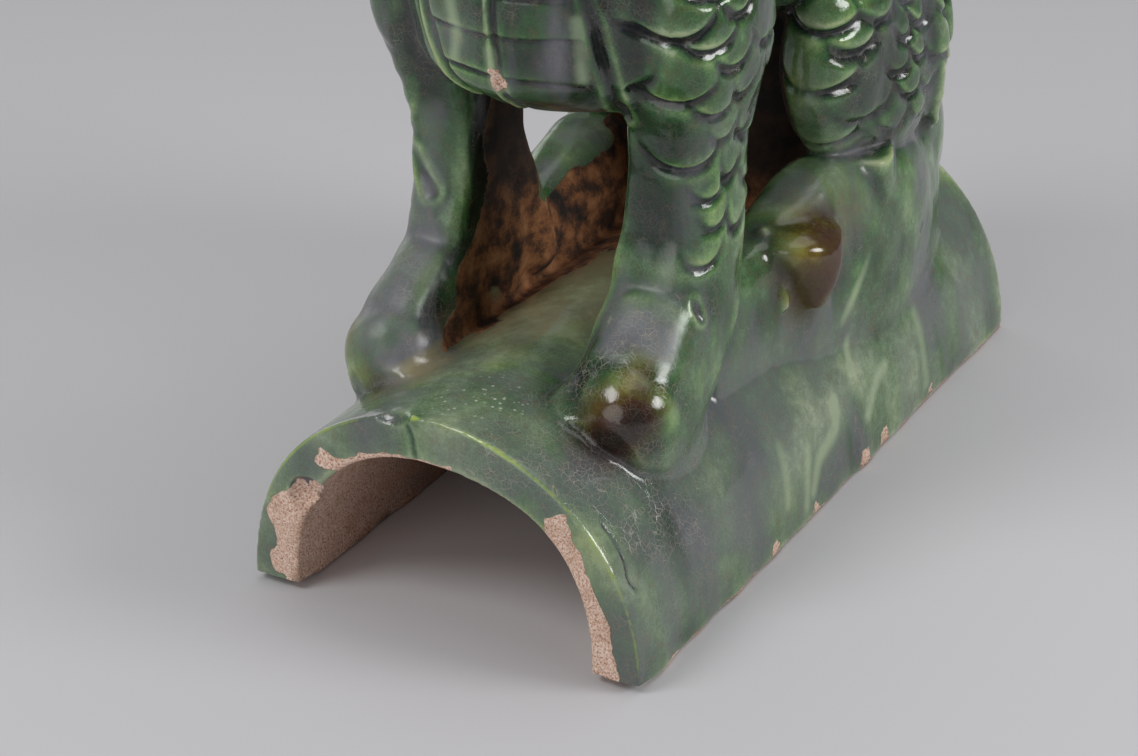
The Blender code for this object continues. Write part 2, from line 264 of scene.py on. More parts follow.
# %% Tile
TILE_LENGTH = cad_high[1] - cad_low[1]
TILE_WIDTH = cad_high[0] - cad_low[0]
TILE_HEIGHT = 0.0748
WALL_AT_FOOT = 0.0169
WALL_AT_CROWN = 0.0159
OUTER_ARCH = (1.892, 2.232)
INNER_ARCH = (2.433, 2.433)
OUTER_HALF = TILE_WIDTH / 2
INNER_HALF = OUTER_HALF - WALL_AT_FOOT
INNER_HEIGHT = TILE_HEIGHT - WALL_AT_CROWN
FRONT_END = -TILE_LENGTH / 2


def arch(half_width, height, powers, count):
    """A superellipse from the right foot over the crown to the left foot, at even angles."""
    angle = np.linspace(0, np.pi, count)
    across = half_width * np.sign(np.cos(angle)) * np.abs(np.cos(angle)) ** (2 / powers[0])
    return np.stack([across, height * np.abs(np.sin(angle)) ** (2 / powers[1])], -1)


def arch_reach(points, half_width, height, powers):
    """(|x/a|^p + |z/b|^q)^(1/p): 1 on the arch, less inside it and more outside."""
    across = np.abs(points[:, 0] / half_width) ** powers[0]
    up = np.maximum(points[:, 2] / height, 0) ** powers[1]
    return (across + up) ** (1 / powers[0])


def tile_shell(count=200, lengths=120):
    """The section loop carried along Y. Each end face is a strip between its outer and inner arch."""
    outer = arch(OUTER_HALF, TILE_HEIGHT, OUTER_ARCH, count)
    inner = arch(INNER_HALF, INNER_HEIGHT, INNER_ARCH, count)
    loop = np.vstack([outer, inner[::-1]])
    along = np.linspace(FRONT_END, -FRONT_END, lengths)
    rings = np.stack(
        [
            np.broadcast_to(loop[:, 0], (lengths, len(loop))),
            np.broadcast_to(along[:, None], (lengths, len(loop))),
            np.broadcast_to(loop[:, 1], (lengths, len(loop))),
        ],
        -1,
    )
    at = np.arange(lengths * 2 * count).reshape(lengths, 2 * count)
    low, high = at[:-1], at[1:]
    quads = [np.stack([low, np.roll(low, -1, 1), np.roll(high, -1, 1), high], -1).reshape(-1, 4)]
    for row, turned in ((at[0], False), (at[-1], True)):
        outside, inside = row[:count], row[count:][::-1]
        strip = np.stack([outside[:-1], inside[:-1], inside[1:], outside[1:]], -1)
        quads.append(strip[:, ::-1] if turned else strip)
    quads = np.vstack(quads)
    points = rings.reshape(-1, 3)
    faces = np.vstack([quads[:, [0, 1, 2]], quads[:, [0, 2, 3]]])
    return points, outward(points, faces)


def kept_out_of_tunnel(shells):
    """Points inside the middle of the tile's wall move out to it, so no clay hangs in the tunnel."""
    half, height, power = (OUTER_HALF + INNER_HALF) / 2, (TILE_HEIGHT + INNER_HEIGHT) / 2, 2.25
    kept = []
    for points, faces in shells:
        reach = np.maximum(arch_reach(points, half, height, (power, power)), 0.02)
        grow = np.where(reach < 1, 1 / reach, 1)
        kept.append((points * np.stack([grow, np.ones_like(grow), grow], -1), faces))
    return kept


tile = tile_shell()
print("tile", round(TILE_LENGTH * 1000), "mm long,", len(tile[1]), "triangles")

# %% [markdown]
# ## The body forms
#
# Legs are slabs with rounded corners, paws are pressed balls, the chest is an upright drum and the back a
# second one that lies along Y. Sculpting could make them, but stations of a few numbers each keep the pose
# readable: where the middle of the limb is, how wide and how deep it is there.

# %% Legs, feet and haunches on the +X side
LEG_X = 0.0405
LEG_Y = -0.0535
BELLY_Z = 0.152
HIND_X = 0.0455
FORELEG = [
    (0.033, -0.052, 0.222, 0.01, 0.02, 0),
    (0.0405, -0.056, 0.208, 0.015, 0.026, 0),
    (0.044, -0.058, 0.19, 0.0175, 0.028, 0),
    (0.044, -0.057, 0.17, 0.0175, 0.026, 0),
    (0.042, -0.055, 0.152, 0.015, 0.0215, 0),
    (LEG_X, LEG_Y, 0.134, 0.0135, 0.019, 0),
    (LEG_X, LEG_Y, 0.116, 0.0135, 0.0195, 0),
    (LEG_X, -0.056, 0.103, 0.014, 0.0205, -10),
    (LEG_X, -0.0588, 0.0913, 0.0145, 0.021, -20),
    (LEG_X, -0.0668, 0.0793, 0.015, 0.022, -32),
    (LEG_X, -0.0767, 0.0688, 0.015, 0.022, -42),
    (0.0395, -0.0887, 0.0617, 0.0155, 0.02, -52),
    (0.0375, -0.1, 0.0591, 0.016, 0.0165, -60),
    (0.0365, -0.1095, 0.06, 0.0155, 0.011, -66),
]
PAW = [
    (0.041, -0.06, 0.093, 0.0135, 0.019, -22),
    (0.0412, -0.065, 0.086, 0.0142, 0.022, -32),
    (0.0415, -0.0735, 0.0765, 0.015, 0.0236, -43),
    (0.042, -0.0845, 0.068, 0.0158, 0.024, -53),
    (0.042, -0.093, 0.062, 0.0158, 0.0215, -60),
    (0.0418, -0.101, 0.059, 0.0148, 0.0165, -66),
    (0.0412, -0.107, 0.058, 0.0118, 0.0095, -72),
]
HAUNCH = [
    (0.04, 0.085, 0.078, 0.018, 0.033, 0),
    (0.04, 0.082, 0.1, 0.0185, 0.037, 0),
    (0.042, 0.074, 0.128, 0.019, 0.04, 0),
    (0.04, 0.066, 0.155, 0.017, 0.037, 0),
    (0.037, 0.06, 0.178, 0.011, 0.026, 0),
]


def reached_in(stations, inwards):
    """The stations with the side towards the middle moved inwards below the knee, the outer side kept."""
    rows = np.array(stations)
    move = inwards * np.clip((0.15 - rows[:, 2]) / 0.045, 0, 1)
    rows[:, 0] -= move
    rows[:, 3] += move
    return rows


def foreleg(inwards, inner_power):
    """Shoulder, straight leg, and the foot that steps down over the tile's shoulder."""
    return [
        loft(reached_in(FORELEG, inwards), power=2.8, inner_power=6.0),
        loft(reached_in(PAW, inwards), power=2.3, inner_power=inner_power),
        ball((0.0415, -0.0975, 0.069), (0.0165, 0.0165, 0.0165)),
        loft(
            [
                (0.04, -0.086, 0.03, 0.016, 0.026, 0),
                (0.041, -0.084, 0.055, 0.015, 0.024, 0),
                (0.041, -0.078, 0.08, 0.013, 0.018, 0),
            ],
            power=2.2,
        ),
    ]


def hind_leg():
    """Haunch, and the hind foot with the bank of clay that runs on to the foreleg."""
    return [
        ball((HIND_X - 0.003, 0.074, 0.128), (0.019, 0.038, 0.044), lean=14),
        ball((HIND_X - 0.004, 0.051, 0.137), (0.0165, 0.033, 0.039)),
        ball((HIND_X - 0.008, 0.101, 0.086), (0.018, 0.03, 0.038), lean=25),
        loft(
            [
                (0.04, 0.11, 0.055, 0.015, 0.036, 90),
                (0.044, 0.085, 0.058, 0.017, 0.039, 90),
                (0.045, 0.062, 0.06, 0.018, 0.04, 90),
                (0.0445, 0.042, 0.062, 0.0175, 0.04, 86),
                (0.043, 0.022, 0.062, 0.016, 0.042, 90),
                (0.0425, 0.004, 0.06, 0.0145, 0.04, 90),
                (0.041, -0.014, 0.058, 0.012, 0.0355, 90),
                (0.0405, -0.034, 0.056, 0.0105, 0.035, 90),
                (0.0405, -0.054, 0.056, 0.0095, 0.038, 90),
            ],
            power=3.2,
        ),
        loft(
            [
                (0.047, 0.0, 0.0945, 0.01, 0.011, 0),
                (0.048, 0.001, 0.0905, 0.016, 0.0175, 0),
                (0.0485, 0.0, 0.083, 0.0172, 0.015, 0),
                (0.0485, -0.001, 0.075, 0.016, 0.0095, 0),
                (0.048, -0.002, 0.067, 0.013, 0.004, 0),
            ],
            power=2.1,
        ),
        tube(
            [
                (0.044, -0.011, 0.0935, 0.0026),
                (0.0488, -0.014, 0.083, 0.0032),
                (0.053, -0.015, 0.072, 0.0024),
            ]
        ),
        swung(
            loft(
                [
                    (0.0415, 0.057, 0.052, 0.013, 0.02, 0),
                    (0.042, 0.057, 0.076, 0.015, 0.0205, 0),
                    (0.042, 0.057, 0.1012, 0.015, 0.0215, 0),
                ],
                power=4.0,
            ),
            (0.042, 0.057, 0),
            30,
        ),
    ]


def left_side_clay():
    """Clay on the -X side only: that hind foot reaches further forward, and a web joins it to the foreleg."""
    return [
        ball((-0.044, 0.012, 0.08), (0.017, 0.024, 0.019)),
        tube(
            [
                (-0.034, -0.044, 0.142, 0.004),
                (-0.034, -0.041, 0.122, 0.0062),
                (-0.034, -0.036, 0.102, 0.0085),
                (-0.034, -0.03, 0.08, 0.0105),
            ]
        ),
        ball((-0.034, -0.048, 0.088), (0.0075, 0.015, 0.026)),
    ]


def haunch_locks():
    """Locks of hair that hang behind the haunch."""
    made = []
    for x, y, drop in ((0.0575, 0.084, 0.004), (0.053, 0.098, 0.0), (0.045, 0.11, -0.002)):
        made.append(
            tube(
                [
                    (x - 0.009, y - 0.014, 0.176 - drop, 0.003),
                    (x - 0.001, y - 0.005, 0.156 - drop, 0.0055),
                    (x + 0.001, y + 0.001, 0.134 - drop, 0.0064),
                    (x - 0.001, y + 0.007, 0.113 - drop, 0.0048),
                    (x - 0.001, y + 0.014, 0.1 - drop, 0.002),
                ]
            )
        )
    return made


# %% Chest, back and tail
CHEST = [
    (0, -0.052, BELLY_Z - 0.001, 0.03, 0.023, 0),
    (0, -0.052, 0.158, 0.042, 0.0385, 0),
    (0, -0.053, 0.166, 0.047, 0.0475, 0),
    (0, -0.054, 0.178, 0.049, 0.0495, 0),
    (0, -0.055, 0.192, 0.05, 0.0505, 0),
    (0, -0.056, 0.214, 0.048, 0.0495, 0),
    (0, -0.057, 0.236, 0.041, 0.044, 0),
    (0, -0.06, 0.258, 0.035, 0.039, -6),
    (0, -0.064, 0.28, 0.032, 0.034, -10),
]
BACK = [
    (0, -0.08, 0.184, 0.033, 0.029, 90),
    (0, -0.064, 0.187, 0.044, 0.0395, 90),
    (0, -0.04, 0.193, 0.047, 0.044, 90),
    (0, 0.0, 0.192, 0.046, 0.04, 90),
    (0, 0.04, 0.176, 0.046, 0.033, 90),
    (0, 0.075, 0.152, 0.044, 0.04, 90),
    (0, 0.102, 0.126, 0.04, 0.044, 90),
    (0, 0.122, 0.104, 0.034, 0.04, 90),
    (0, -FRONT_END - 0.006, 0.094, 0.022, 0.028, 90),
]


def trunk():
    """Chest above the open gap, back sloping to the rump, and the wall of clay between the hind legs."""
    return [
        loft(CHEST, power=2.0, sides=96),
        loft(BACK, power=2.3, sides=84),
        loft(
            [
                (0, 0.085, 0.05, 0.04, 0.048, 0),
                (0, 0.086, 0.1, 0.038, 0.048, 0),
                (0, 0.08, 0.15, 0.038, 0.04, 0),
            ],
            power=3.0,
        ),
    ]


RIGHT_BAND = [
    (0.03, -0.078, 0.1545),
    (0.03, -0.0815, 0.16),
    (0.0306, -0.0865, 0.166),
    (0.0308, -0.0905, 0.174),
    (0.0306, -0.0935, 0.181),
    (0.0302, -0.0962, 0.189),
    (0.029, -0.0985, 0.197),
    (0.027, -0.0985, 0.212),
    (0.024, -0.097, 0.23),
    (0.02, -0.096, 0.246),
]
LEFT_BAND = [
    (-0.013, -0.0905, 0.158),
    (-0.018, -0.0935, 0.1625),
    (-0.0232, -0.0968, 0.17),
    (-0.0255, -0.0968, 0.1784),
    (-0.0278, -0.0975, 0.187),
    (-0.0282, -0.098, 0.197),
    (-0.027, -0.0985, 0.212),
    (-0.024, -0.097, 0.23),
    (-0.02, -0.096, 0.246),
]


def tail():
    """A flame of fluted locks that rises up the back from the rump."""
    middle = tube(
        [
            (0, 0.118, 0.1, 0.012),
            (0, 0.124, 0.13, 0.0135),
            (0, 0.118, 0.162, 0.0125),
            (0, 0.106, 0.19, 0.0095),
            (0, 0.104, 0.21, 0.006),
            (0, 0.112, 0.226, 0.0022),
        ],
        flutes=12,
        flute_depth=0.14,
    )
    side = tube(
        [
            (0.008, 0.122, 0.106, 0.008),
            (0.018, 0.126, 0.134, 0.0085),
            (0.023, 0.118, 0.158, 0.007),
            (0.021, 0.108, 0.176, 0.0045),
            (0.025, 0.108, 0.19, 0.0018),
        ],
        flutes=8,
        flute_depth=0.16,
    )
    return [middle, side, *mirrored([side])]


glaze_bead = ball((-0.007, -0.1412, 0.0738), (0.002, 0.0018, 0.0022))
half = hind_leg() + haunch_locks()
legs = half + foreleg(0.002, 2.6) + mirrored(half + foreleg(-0.002, 4.2))
body_forms = kept_out_of_tunnel(legs + left_side_clay() + trunk() + tail())
body_forms.append(glaze_bead)
print("body:", len(body_forms), "clay forms")

# %% [markdown]
# ## One skin over all the forms
#
# Wet clay forms are pressed together until they are one. A Boolean union would leave hard lines, so the
# forms are joined by a voxel remesh, and then each hollow join is filled a little: a point moves to the
# mean of its neighbours only where that mean lies outside the surface. Edges that stand out stay sharp.


# %% Mesh arrays
def merged(shells):
    """All the shells as one array of points and one of triangles."""
    starts = np.cumsum([0] + [len(points) for points, _ in shells[:-1]])
    return (
        np.vstack([points for points, _ in shells]),
        np.vstack([faces + start for (_, faces), start in zip(shells, starts)]),
    )


def mesh_object(name, points, faces):
    mesh = bpy.data.meshes.new(name)
    mesh.from_pydata(points, [], faces)
    made = bpy.data.objects.new(name, mesh)
    bpy.context.scene.collection.objects.link(made)
    return made


def applied(made):
    """The object with its modifiers made real."""
    evaluated = made.evaluated_get(bpy.context.evaluated_depsgraph_get())
    done = bpy.data.meshes.new_from_object(evaluated)
    old = made.data
    made.modifiers.clear()
    made.data = done
    bpy.data.meshes.remove(old)
    return made


def fused(name, shells, voxel):
    """One closed skin round all the shells, as an object of quads."""
    made = mesh_object(name, *merged(shells))
    join = made.modifiers.new("join_clay", "REMESH")
    join.mode = "VOXEL"
    join.voxel_size = voxel
    return applied(made)


def points_of(mesh):
    found = np.empty(len(mesh.vertices) * 3, np.float32)
    mesh.vertices.foreach_get("co", found)
    return found.reshape(-1, 3).astype(float)


def edges_of(mesh):
    found = np.empty(len(mesh.edges) * 2, np.int32)
    mesh.edges.foreach_get("vertices", found)
    return found.reshape(-1, 2)


def quads_of(mesh):
    found = np.empty(len(mesh.loops), np.int32)
    mesh.loops.foreach_get("vertex_index", found)
    return found.reshape(-1, 4)


def neighbour_mean(points, edges):
    """For each point, the mean of the points that share an edge with it."""
    ends = np.vstack([edges, edges[:, ::-1]])
    count = np.bincount(ends[:, 0], minlength=len(points))
    sums = [np.bincount(ends[:, 0], points[ends[:, 1], axis], len(points)) for axis in range(3)]
    return np.stack(sums, -1) / count[:, None]


def normals_of(points, quads):
    """For each point, the unit sum of its quads' normals, each the cross product of its diagonals."""
    a, b, c, d = np.moveaxis(points[quads], 1, 0)
    across = np.cross(c - a, d - b)
    sums = [np.bincount(quads.ravel(), np.repeat(across[:, axis], 4), len(points)) for axis in range(3)]
    summed = np.stack(sums, -1)
    return summed / np.maximum(np.linalg.norm(summed, axis=1, keepdims=True), 1e-12)


def relaxed(points, edges, rounds, share=0.5):
    """Each round moves every point part of the way to the mean of its neighbours."""
    for _ in range(rounds):
        points = points + share * (neighbour_mean(points, edges) - points)
    return points


def creases_filled(points, quads, edges, rounds):
    """The same move, but only where the mean lies outside the surface, so hollows fill and edges stay."""
    for _ in range(rounds):
        move = neighbour_mean(points, edges) - points
        out = np.einsum("ij,ij->i", move, normals_of(points, quads))
        points = points + 0.6 * move * (out > 0)[:, None]
    return points


BODY_VOXEL = 0.0009
body = fused("glazed_tile_and_body", [tile] + body_forms, BODY_VOXEL)
quads, edges = quads_of(body.data), edges_of(body.data)
skin = relaxed(points_of(body.data), edges, 5)
skin = creases_filled(skin, quads, edges, 16)
print("one skin:", len(skin), "points")

# %% [markdown]
# ## Wear and handling
#
# Nothing made by hand is true. A slow wave, a sum of sines with fixed directions, bends every surface a
# little. A knock is a ball pressed into the clay: points inside the ball move out to its surface.


# %% Uneven clay, knocks and lifted corners
def smooth_step(low, high, value):
    """0 below low, 1 above high, and the cubic 3s^2 - 2s^3 between."""
    share = np.clip((value - low) / (high - low), 0, 1)
    return share * share * (3 - 2 * share)


def bell(gap, width):
    """exp(-(gap / width)^2): 1 in the middle of a mark, about a third at its width, nothing well outside."""
    return np.exp(-((gap / width) ** 2))


def band(value, opens, closes):
    """Rises from 0 to 1 over the two values in opens, and falls back to 0 over the two in closes."""
    return smooth_step(*opens, value) * (1 - smooth_step(*closes, value))


def waves(points, length, seed, count=7):
    """A smooth value, mostly from -1 to 1: sines along seeded directions, each wave about length long."""
    rng = np.random.default_rng(seed)
    directions = rng.normal(size=(count, 3))
    directions /= np.linalg.norm(directions, axis=1, keepdims=True)
    turns = 2 * np.pi / (length * rng.uniform(0.7, 1.5, count))
    phases = rng.uniform(0, 2 * np.pi, count)
    return np.sin(points @ directions.T * turns + phases).sum(1) / math.sqrt(count)


def pressed(points, centre, radius):
    """Points inside the ball move straight out to its surface."""
    out = points - centre
    far = np.linalg.norm(out, axis=1, keepdims=True)
    return np.where(far < radius, centre + out * (radius / np.maximum(far, 1e-6)), points)


KNOCKS = [
    ((-0.016, -0.1462, 0.0785), 0.0106),
    ((-0.047, -0.145, 0.036), 0.0082),
    ((0.0725, -0.144, 0.0), 0.0055),
    ((0.056, -0.144, -0.001), 0.005),
    ((0.073, -0.029, -0.002), 0.0042),
    ((0.074, 0.044, -0.002), 0.0046),
    ((-0.073, 0.07, -0.002), 0.005),
    ((0.02, 0.146, 0.074), 0.007),
]
FRONT_LIFT = 0.0032

normals = normals_of(skin, quads)
on_beast = smooth_step(1.05, 1.25, arch_reach(skin, OUTER_HALF, TILE_HEIGHT, OUTER_ARCH))
uneven = 0.0003 * waves(skin, 0.045, 1) + 0.00022 * on_beast * waves(skin, 0.014, 2)
near_foot = 1 - smooth_step(0.004, 0.014, skin[:, 2])
uneven += near_foot * 0.00035 * waves(skin, 0.016, 3)
skin = skin + normals * uneven[:, None]
for centre, radius in KNOCKS:
    skin = pressed(skin, np.array(centre), radius)
lift = FRONT_LIFT * (1 - smooth_step(0, 0.02, skin[:, 1] - FRONT_END))
skin[:, 2] = np.maximum(skin[:, 2], lift)
print("clay moved by up to", round(np.abs(uneven).max() * 1000, 2), "mm before the knocks")

# %% [markdown]
# ## Tool marks
#
# Scales, belly plates and bands are cut after the forms are joined, as the modeller cut them with a gouge
# and a bamboo knife. Each mark is a height worked out from where a point lies, and the point moves that far
# along its normal. A displacement texture could do it, but heights in metres keep each mark at its real
# size, and the same formulas later tell the glaze where to pool.


# %% Places on the skin
def round_limb(points, stations, power=2.8):
    """Places round an upright limb: the angle in degrees, 0 outwards and -90 to the front; its reach, 1 on
    the limb's own skin; and its mean radius there.
    """
    path = smooth_path(stations, 12)
    path = path[np.argsort(path[:, 2])]
    middle_x, middle_y, wide, deep = (np.interp(points[:, 2], path[:, 2], path[:, i]) for i in (0, 1, 3, 4))
    across, along = np.abs(points[:, 0]) - middle_x, points[:, 1] - middle_y
    reach = (np.abs(across / wide) ** power + np.abs(along / deep) ** power) ** (1 / power)
    return np.degrees(np.arctan2(along, across)), reach, (wide + deep) / 2


def round_trunk(points):
    """Places round the back: the angle in degrees from +X over the spine, the reach, the mean radius."""
    path = smooth_path(BACK, 12)
    middle, wide, high = (np.interp(points[:, 1], path[:, 1], path[:, i]) for i in (2, 3, 4))
    across, up = points[:, 0] / wide, (points[:, 2] - middle) / high
    return np.degrees(np.arctan2(up, across)), np.hypot(across, up), (wide + high) / 2


def near_path(points, stations, reach, steps=8):
    """The distance from each point to a smooth path, within reach of it, and the share of the way along."""
    path = smooth_path(stations, steps)[:, :3]
    low, high = path.min(0) - reach, path.max(0) + reach
    close = np.flatnonzero(np.all((points > low) & (points < high), axis=1))
    distance, share = np.full(len(points), 1.0), np.zeros(len(points))
    here, best, where = points[close], np.full(len(close), 1.0), np.zeros(len(close))
    for index, (start, end) in enumerate(zip(path, path[1:])):
        run = end - start
        along = np.clip((here - start) @ run / (run @ run), 0, 1)
        gap = np.linalg.norm(here - start - along[:, None] * run, axis=1)
        nearer = gap < best
        best[nearer] = gap[nearer]
        where[nearer] = (index + along[nearer]) / (len(path) - 1)
    distance[close], share[close] = best, where
    return distance, share


# %% Gouged scales
def gouged(height, angle, t, radius, scale):
    """Stamps one U scale, tip down, over what is already there.

    scale is (middle angle, tip height, half width in degrees, rise of the curved part, pad height, groove
    depth). q = sqrt(u^2 + v^2) is 1 on the rim, with u across the scale and v down from where its sides
    turn straight, so (1 - q) times its half width is the distance inside the rim.
    """
    middle, tip, half, rise, pad, cut = scale
    u = (angle - middle) / half
    here = np.flatnonzero((np.abs(u) < 1.6) & (t > tip - 0.006) & (t < tip + 2.6 * rise))
    u, down = u[here], np.maximum((tip + rise - t[here]) / rise, 0)
    small = np.minimum(np.radians(half) * radius[here], rise)
    inside = (1 - np.sqrt(u * u + down * down)) * small
    up = (t[here] - tip) / rise
    fade = 1 - smooth_step(0.9, 2.2, up)
    body = pad * smooth_step(-0.0002, 0.0024, inside) * (1 - 0.75 * smooth_step(0.3, 1.7, up))
    cover = smooth_step(-0.0004, 0.0012, inside) * fade
    deep = np.minimum(down, 1) ** 3
    groove = cut * bell(inside, np.where(inside > 0, 0.0008, 0.0009 + 0.001 * deep))
    groove *= fade * (0.05 + 1.35 * deep)
    height[here] = height[here] * (1 - cover) + body * cover - groove
    return height


def rows_of_scales(angles, tips, half, rise, pad, cut, seed):
    """Staggered rows from the lowest tip up, each scale a little off its place as a hand sets them."""
    rng = np.random.default_rng(seed)
    made = []
    for row, tip in enumerate(tips):
        for angle in np.arange(angles[0] + (row % 2) * half * 0.95, angles[1], half * 1.9):
            shift, drop, deep = rng.uniform(-1, 1, 3)
            made.append(
                (
                    angle + shift * half * 0.28,
                    tip + drop * rise * 0.26,
                    half * (1 + 0.2 * deep),
                    rise * (1 - 0.16 * shift),
                    pad * (1 + 0.5 * deep),
                    cut * (1 + 0.6 * drop),
                )
            )
    return made


def covered(rows, angle, t, radius):
    """The height of a whole coat of scales, stamped one after another on a smooth skin."""
    marks = np.zeros(len(t))
    for scale in rows:
        marks = gouged(marks, angle, t, radius, scale)
    return marks


# %% Scales on the legs, shoulders, haunches and back
height = np.zeros(len(skin))
right = skin[:, 0] > 0

FRONT_LEG_SCALES = [
    (-48, 0.1065, 27, 0.0085, 0.0007, 0.0009),
    (-36, 0.1175, 26, 0.01, 0.0006, 0.0008),
    (-44, 0.1275, 28, 0.0095, 0.0008, 0.001),
    (-8, 0.1315, 24, 0.012, 0.0009, 0.0014),
    (-73, 0.1385, 40, 0.012, 0.0009, 0.0022),
    (12, 0.145, 22, 0.0095, 0.001, 0.0013),
    (-32, 0.1465, 24, 0.01, 0.0008, 0.0007),
    (-44, 0.1565, 28, 0.012, 0.0011, 0.0015),
    (-80, 0.1625, 36, 0.014, 0.001, 0.0017),
    (-8, 0.16, 26, 0.011, 0.001, 0.0013),
    (-118, 0.166, 32, 0.014, 0.0006, 0.0014),
    (-30, 0.172, 26, 0.012, 0.001, 0.0012),
    (-54, 0.18, 30, 0.012, 0.0011, 0.0013),
    (-80, 0.184, 34, 0.014, 0.0011, 0.002),
    (-20, 0.188, 30, 0.013, 0.0011, 0.0013),
    (-50, 0.196, 32, 0.013, 0.0011, 0.0015),
]
LOW_PAD, DEEP_CUT = 0.25, 1.1
leg_angle, leg_reach, leg_radius = round_limb(skin, FORELEG)
leg_rows = rows_of_scales((25, 118), np.arange(0.113, 0.2, 0.0152), 38, 0.015, 0.0003, 0.0012, 11)
leg_rows += [(*scale[:4], LOW_PAD * scale[4], DEEP_CUT * scale[5]) for scale in FRONT_LEG_SCALES]
leg_marks = covered(leg_rows, leg_angle, skin[:, 2], leg_radius)
on_leg = (1 - smooth_step(1.18, 1.42, leg_reach)) * smooth_step(0.094, 0.102, skin[:, 2])
left_front = ~right * (1 - smooth_step(-62, -38, leg_angle))
height += on_leg * leg_marks * (1 - 0.9 * left_front) * np.where(right, 1, 0.6)

haunch_angle, haunch_reach, haunch_radius = round_limb(skin, HAUNCH)
haunch_rows = rows_of_scales((-80, 40), np.arange(0.106, 0.19, 0.0112), 18, 0.012, 0.0006, 0.0014, 12)
haunch_marks = covered(haunch_rows, haunch_angle, skin[:, 2], haunch_radius)
on_haunch = (1 - smooth_step(1.15, 1.45, haunch_reach)) * smooth_step(0.104, 0.11, skin[:, 2])
height += on_haunch * haunch_marks

trunk_angle, trunk_reach, trunk_radius = round_trunk(skin)
trunk_rows = rows_of_scales((-20, 202), np.arange(-0.112, 0.048, 0.0095), 11, 0.0105, 0.0008, 0.0011, 13)
trunk_marks = covered(trunk_rows, trunk_angle, -skin[:, 1], trunk_radius)
off_limbs = smooth_step(1.2, 1.5, leg_reach) * smooth_step(1.15, 1.45, haunch_reach)
on_trunk = (1 - smooth_step(1.1, 1.3, trunk_reach)) * off_limbs * smooth_step(-0.062, -0.045, skin[:, 1])
spine = bell(skin[:, 0], 0.0042) * smooth_step(0.15, 0.19, skin[:, 2])
spine_knobs = 0.0024 * np.abs(np.sin(np.pi * skin[:, 1] / 0.0085)) ** 0.6
height += on_trunk * (trunk_marks * (1 - spine) + spine * spine_knobs)
print("scales on a foreleg, a haunch and the back:", len(leg_rows), len(haunch_rows), len(trunk_rows))

# %% Belly plates, bands and ridge on the chest
PLATE_PITCH = 0.0142
LOWEST_PLATE = 0.1548
chest_path = smooth_path(CHEST, 12)
chest_y = np.interp(skin[:, 2], chest_path[:, 2], chest_path[:, 1])
front_face = smooth_step(0, 0.014, chest_y - 0.012 - skin[:, 1]) * smooth_step(0.15, 0.153, skin[:, 2])
right_gap, _ = near_path(skin, RIGHT_BAND, 0.012)
left_gap, _ = near_path(skin, LEFT_BAND, 0.012)
left_edge = np.interp(skin[:, 2], [row[2] for row in LEFT_BAND], [row[0] for row in LEFT_BAND])
panel = front_face * smooth_step(-0.0015, 0.0015, 0.0275 - skin[:, 0])
panel *= smooth_step(0.001, 0.003, skin[:, 0] - left_edge)
rise = skin[:, 2] - LOWEST_PLATE + 0.001 * waves(skin, 0.034, 4) - 0.05 * np.maximum(-skin[:, 0], 0)
plate = rise / PLATE_PITCH % 1
to_line = np.minimum(plate, 1 - plate) * PLATE_PITCH
deeper = 0.6 + 0.4 * waves(skin, 0.022, 5)
height += panel * (0.0006 * (1 - plate) - 0.0011 * deeper * bell(to_line, 0.0008))
height += front_face * 0.0008 * bell(skin[:, 0] - 0.0006 * waves(skin, 0.03, 6), 0.0006)
height -= front_face * 0.0009 * bell(skin[:, 0] - 0.0024, 0.0009)

height *= smooth_step(0.003, 0.0075, np.minimum(right_gap, left_gap)) * 0.85 + 0.15
height -= 0.0022 * bell(right_gap, 0.0014)
height += 0.0007 * bell(right_gap - 0.0036, 0.0013)
height += 0.0012 * bell(left_gap, 0.0013)
height -= 0.0012 * bell(left_gap - 0.0034, 0.0011)
print("belly plates", PLATE_PITCH * 1000, "mm apart")

# %% Stamps and curls on the forelegs
STAMPS = [
    ([(0.0528, -0.0742, 0.0975), (0.0527, -0.0732, 0.0915)], 0.001, 0.0012),
    ([(-0.0475, -0.069, 0.125), (-0.045, -0.0715, 0.119), (-0.042, -0.0732, 0.1145)], 0.0015, 0.0019),
    ([(-0.045, -0.0735, 0.152), (-0.049, -0.07, 0.142), (-0.052, -0.066, 0.136)], 0.0012, 0.0014),
    ([(-0.044, -0.076, 0.164), (-0.049, -0.073, 0.157), (-0.053, -0.068, 0.153)], 0.0012, 0.0014),
    ([(-0.043, -0.082, 0.18), (-0.05, -0.078, 0.172), (-0.056, -0.072, 0.168)], 0.0012, 0.0014),
]
for route, depth, width in STAMPS:
    gap, along = near_path(skin, route, 0.006)
    height -= depth * bell(gap, width) * np.sin(np.pi * np.clip(along * 0.8 + 0.1, 0, 1))
    height += 0.5 * depth * bell(gap - 2.2 * width, width)

# %% Cracks in the tile
CROWN_CRACK = [
    (-0.0097, -0.1417, 0.0712),
    (-0.0081, -0.1417, 0.0683),
    (-0.0075, -0.1417, 0.065),
    (-0.007, -0.1417, 0.06),
]
FLANK_CRACK = [
    (0.0529, -0.1337, 0.0502),
    (0.0553, -0.1332, 0.0473),
    (0.0584, -0.1333, 0.0431),
    (0.0608, -0.1341, 0.0391),
    (0.0627, -0.1357, 0.0354),
    (0.0644, -0.134, 0.0315),
]
crack_gap = np.full(len(skin), 0.003)
for route, depth, width in ((CROWN_CRACK, 0.0009, 0.0007), (FLANK_CRACK, 0.0005, 0.0006)):
    gap, _ = near_path(skin, route, 0.003)
    height -= depth * bell(gap, width)
    crack_gap = np.minimum(crack_gap, gap)

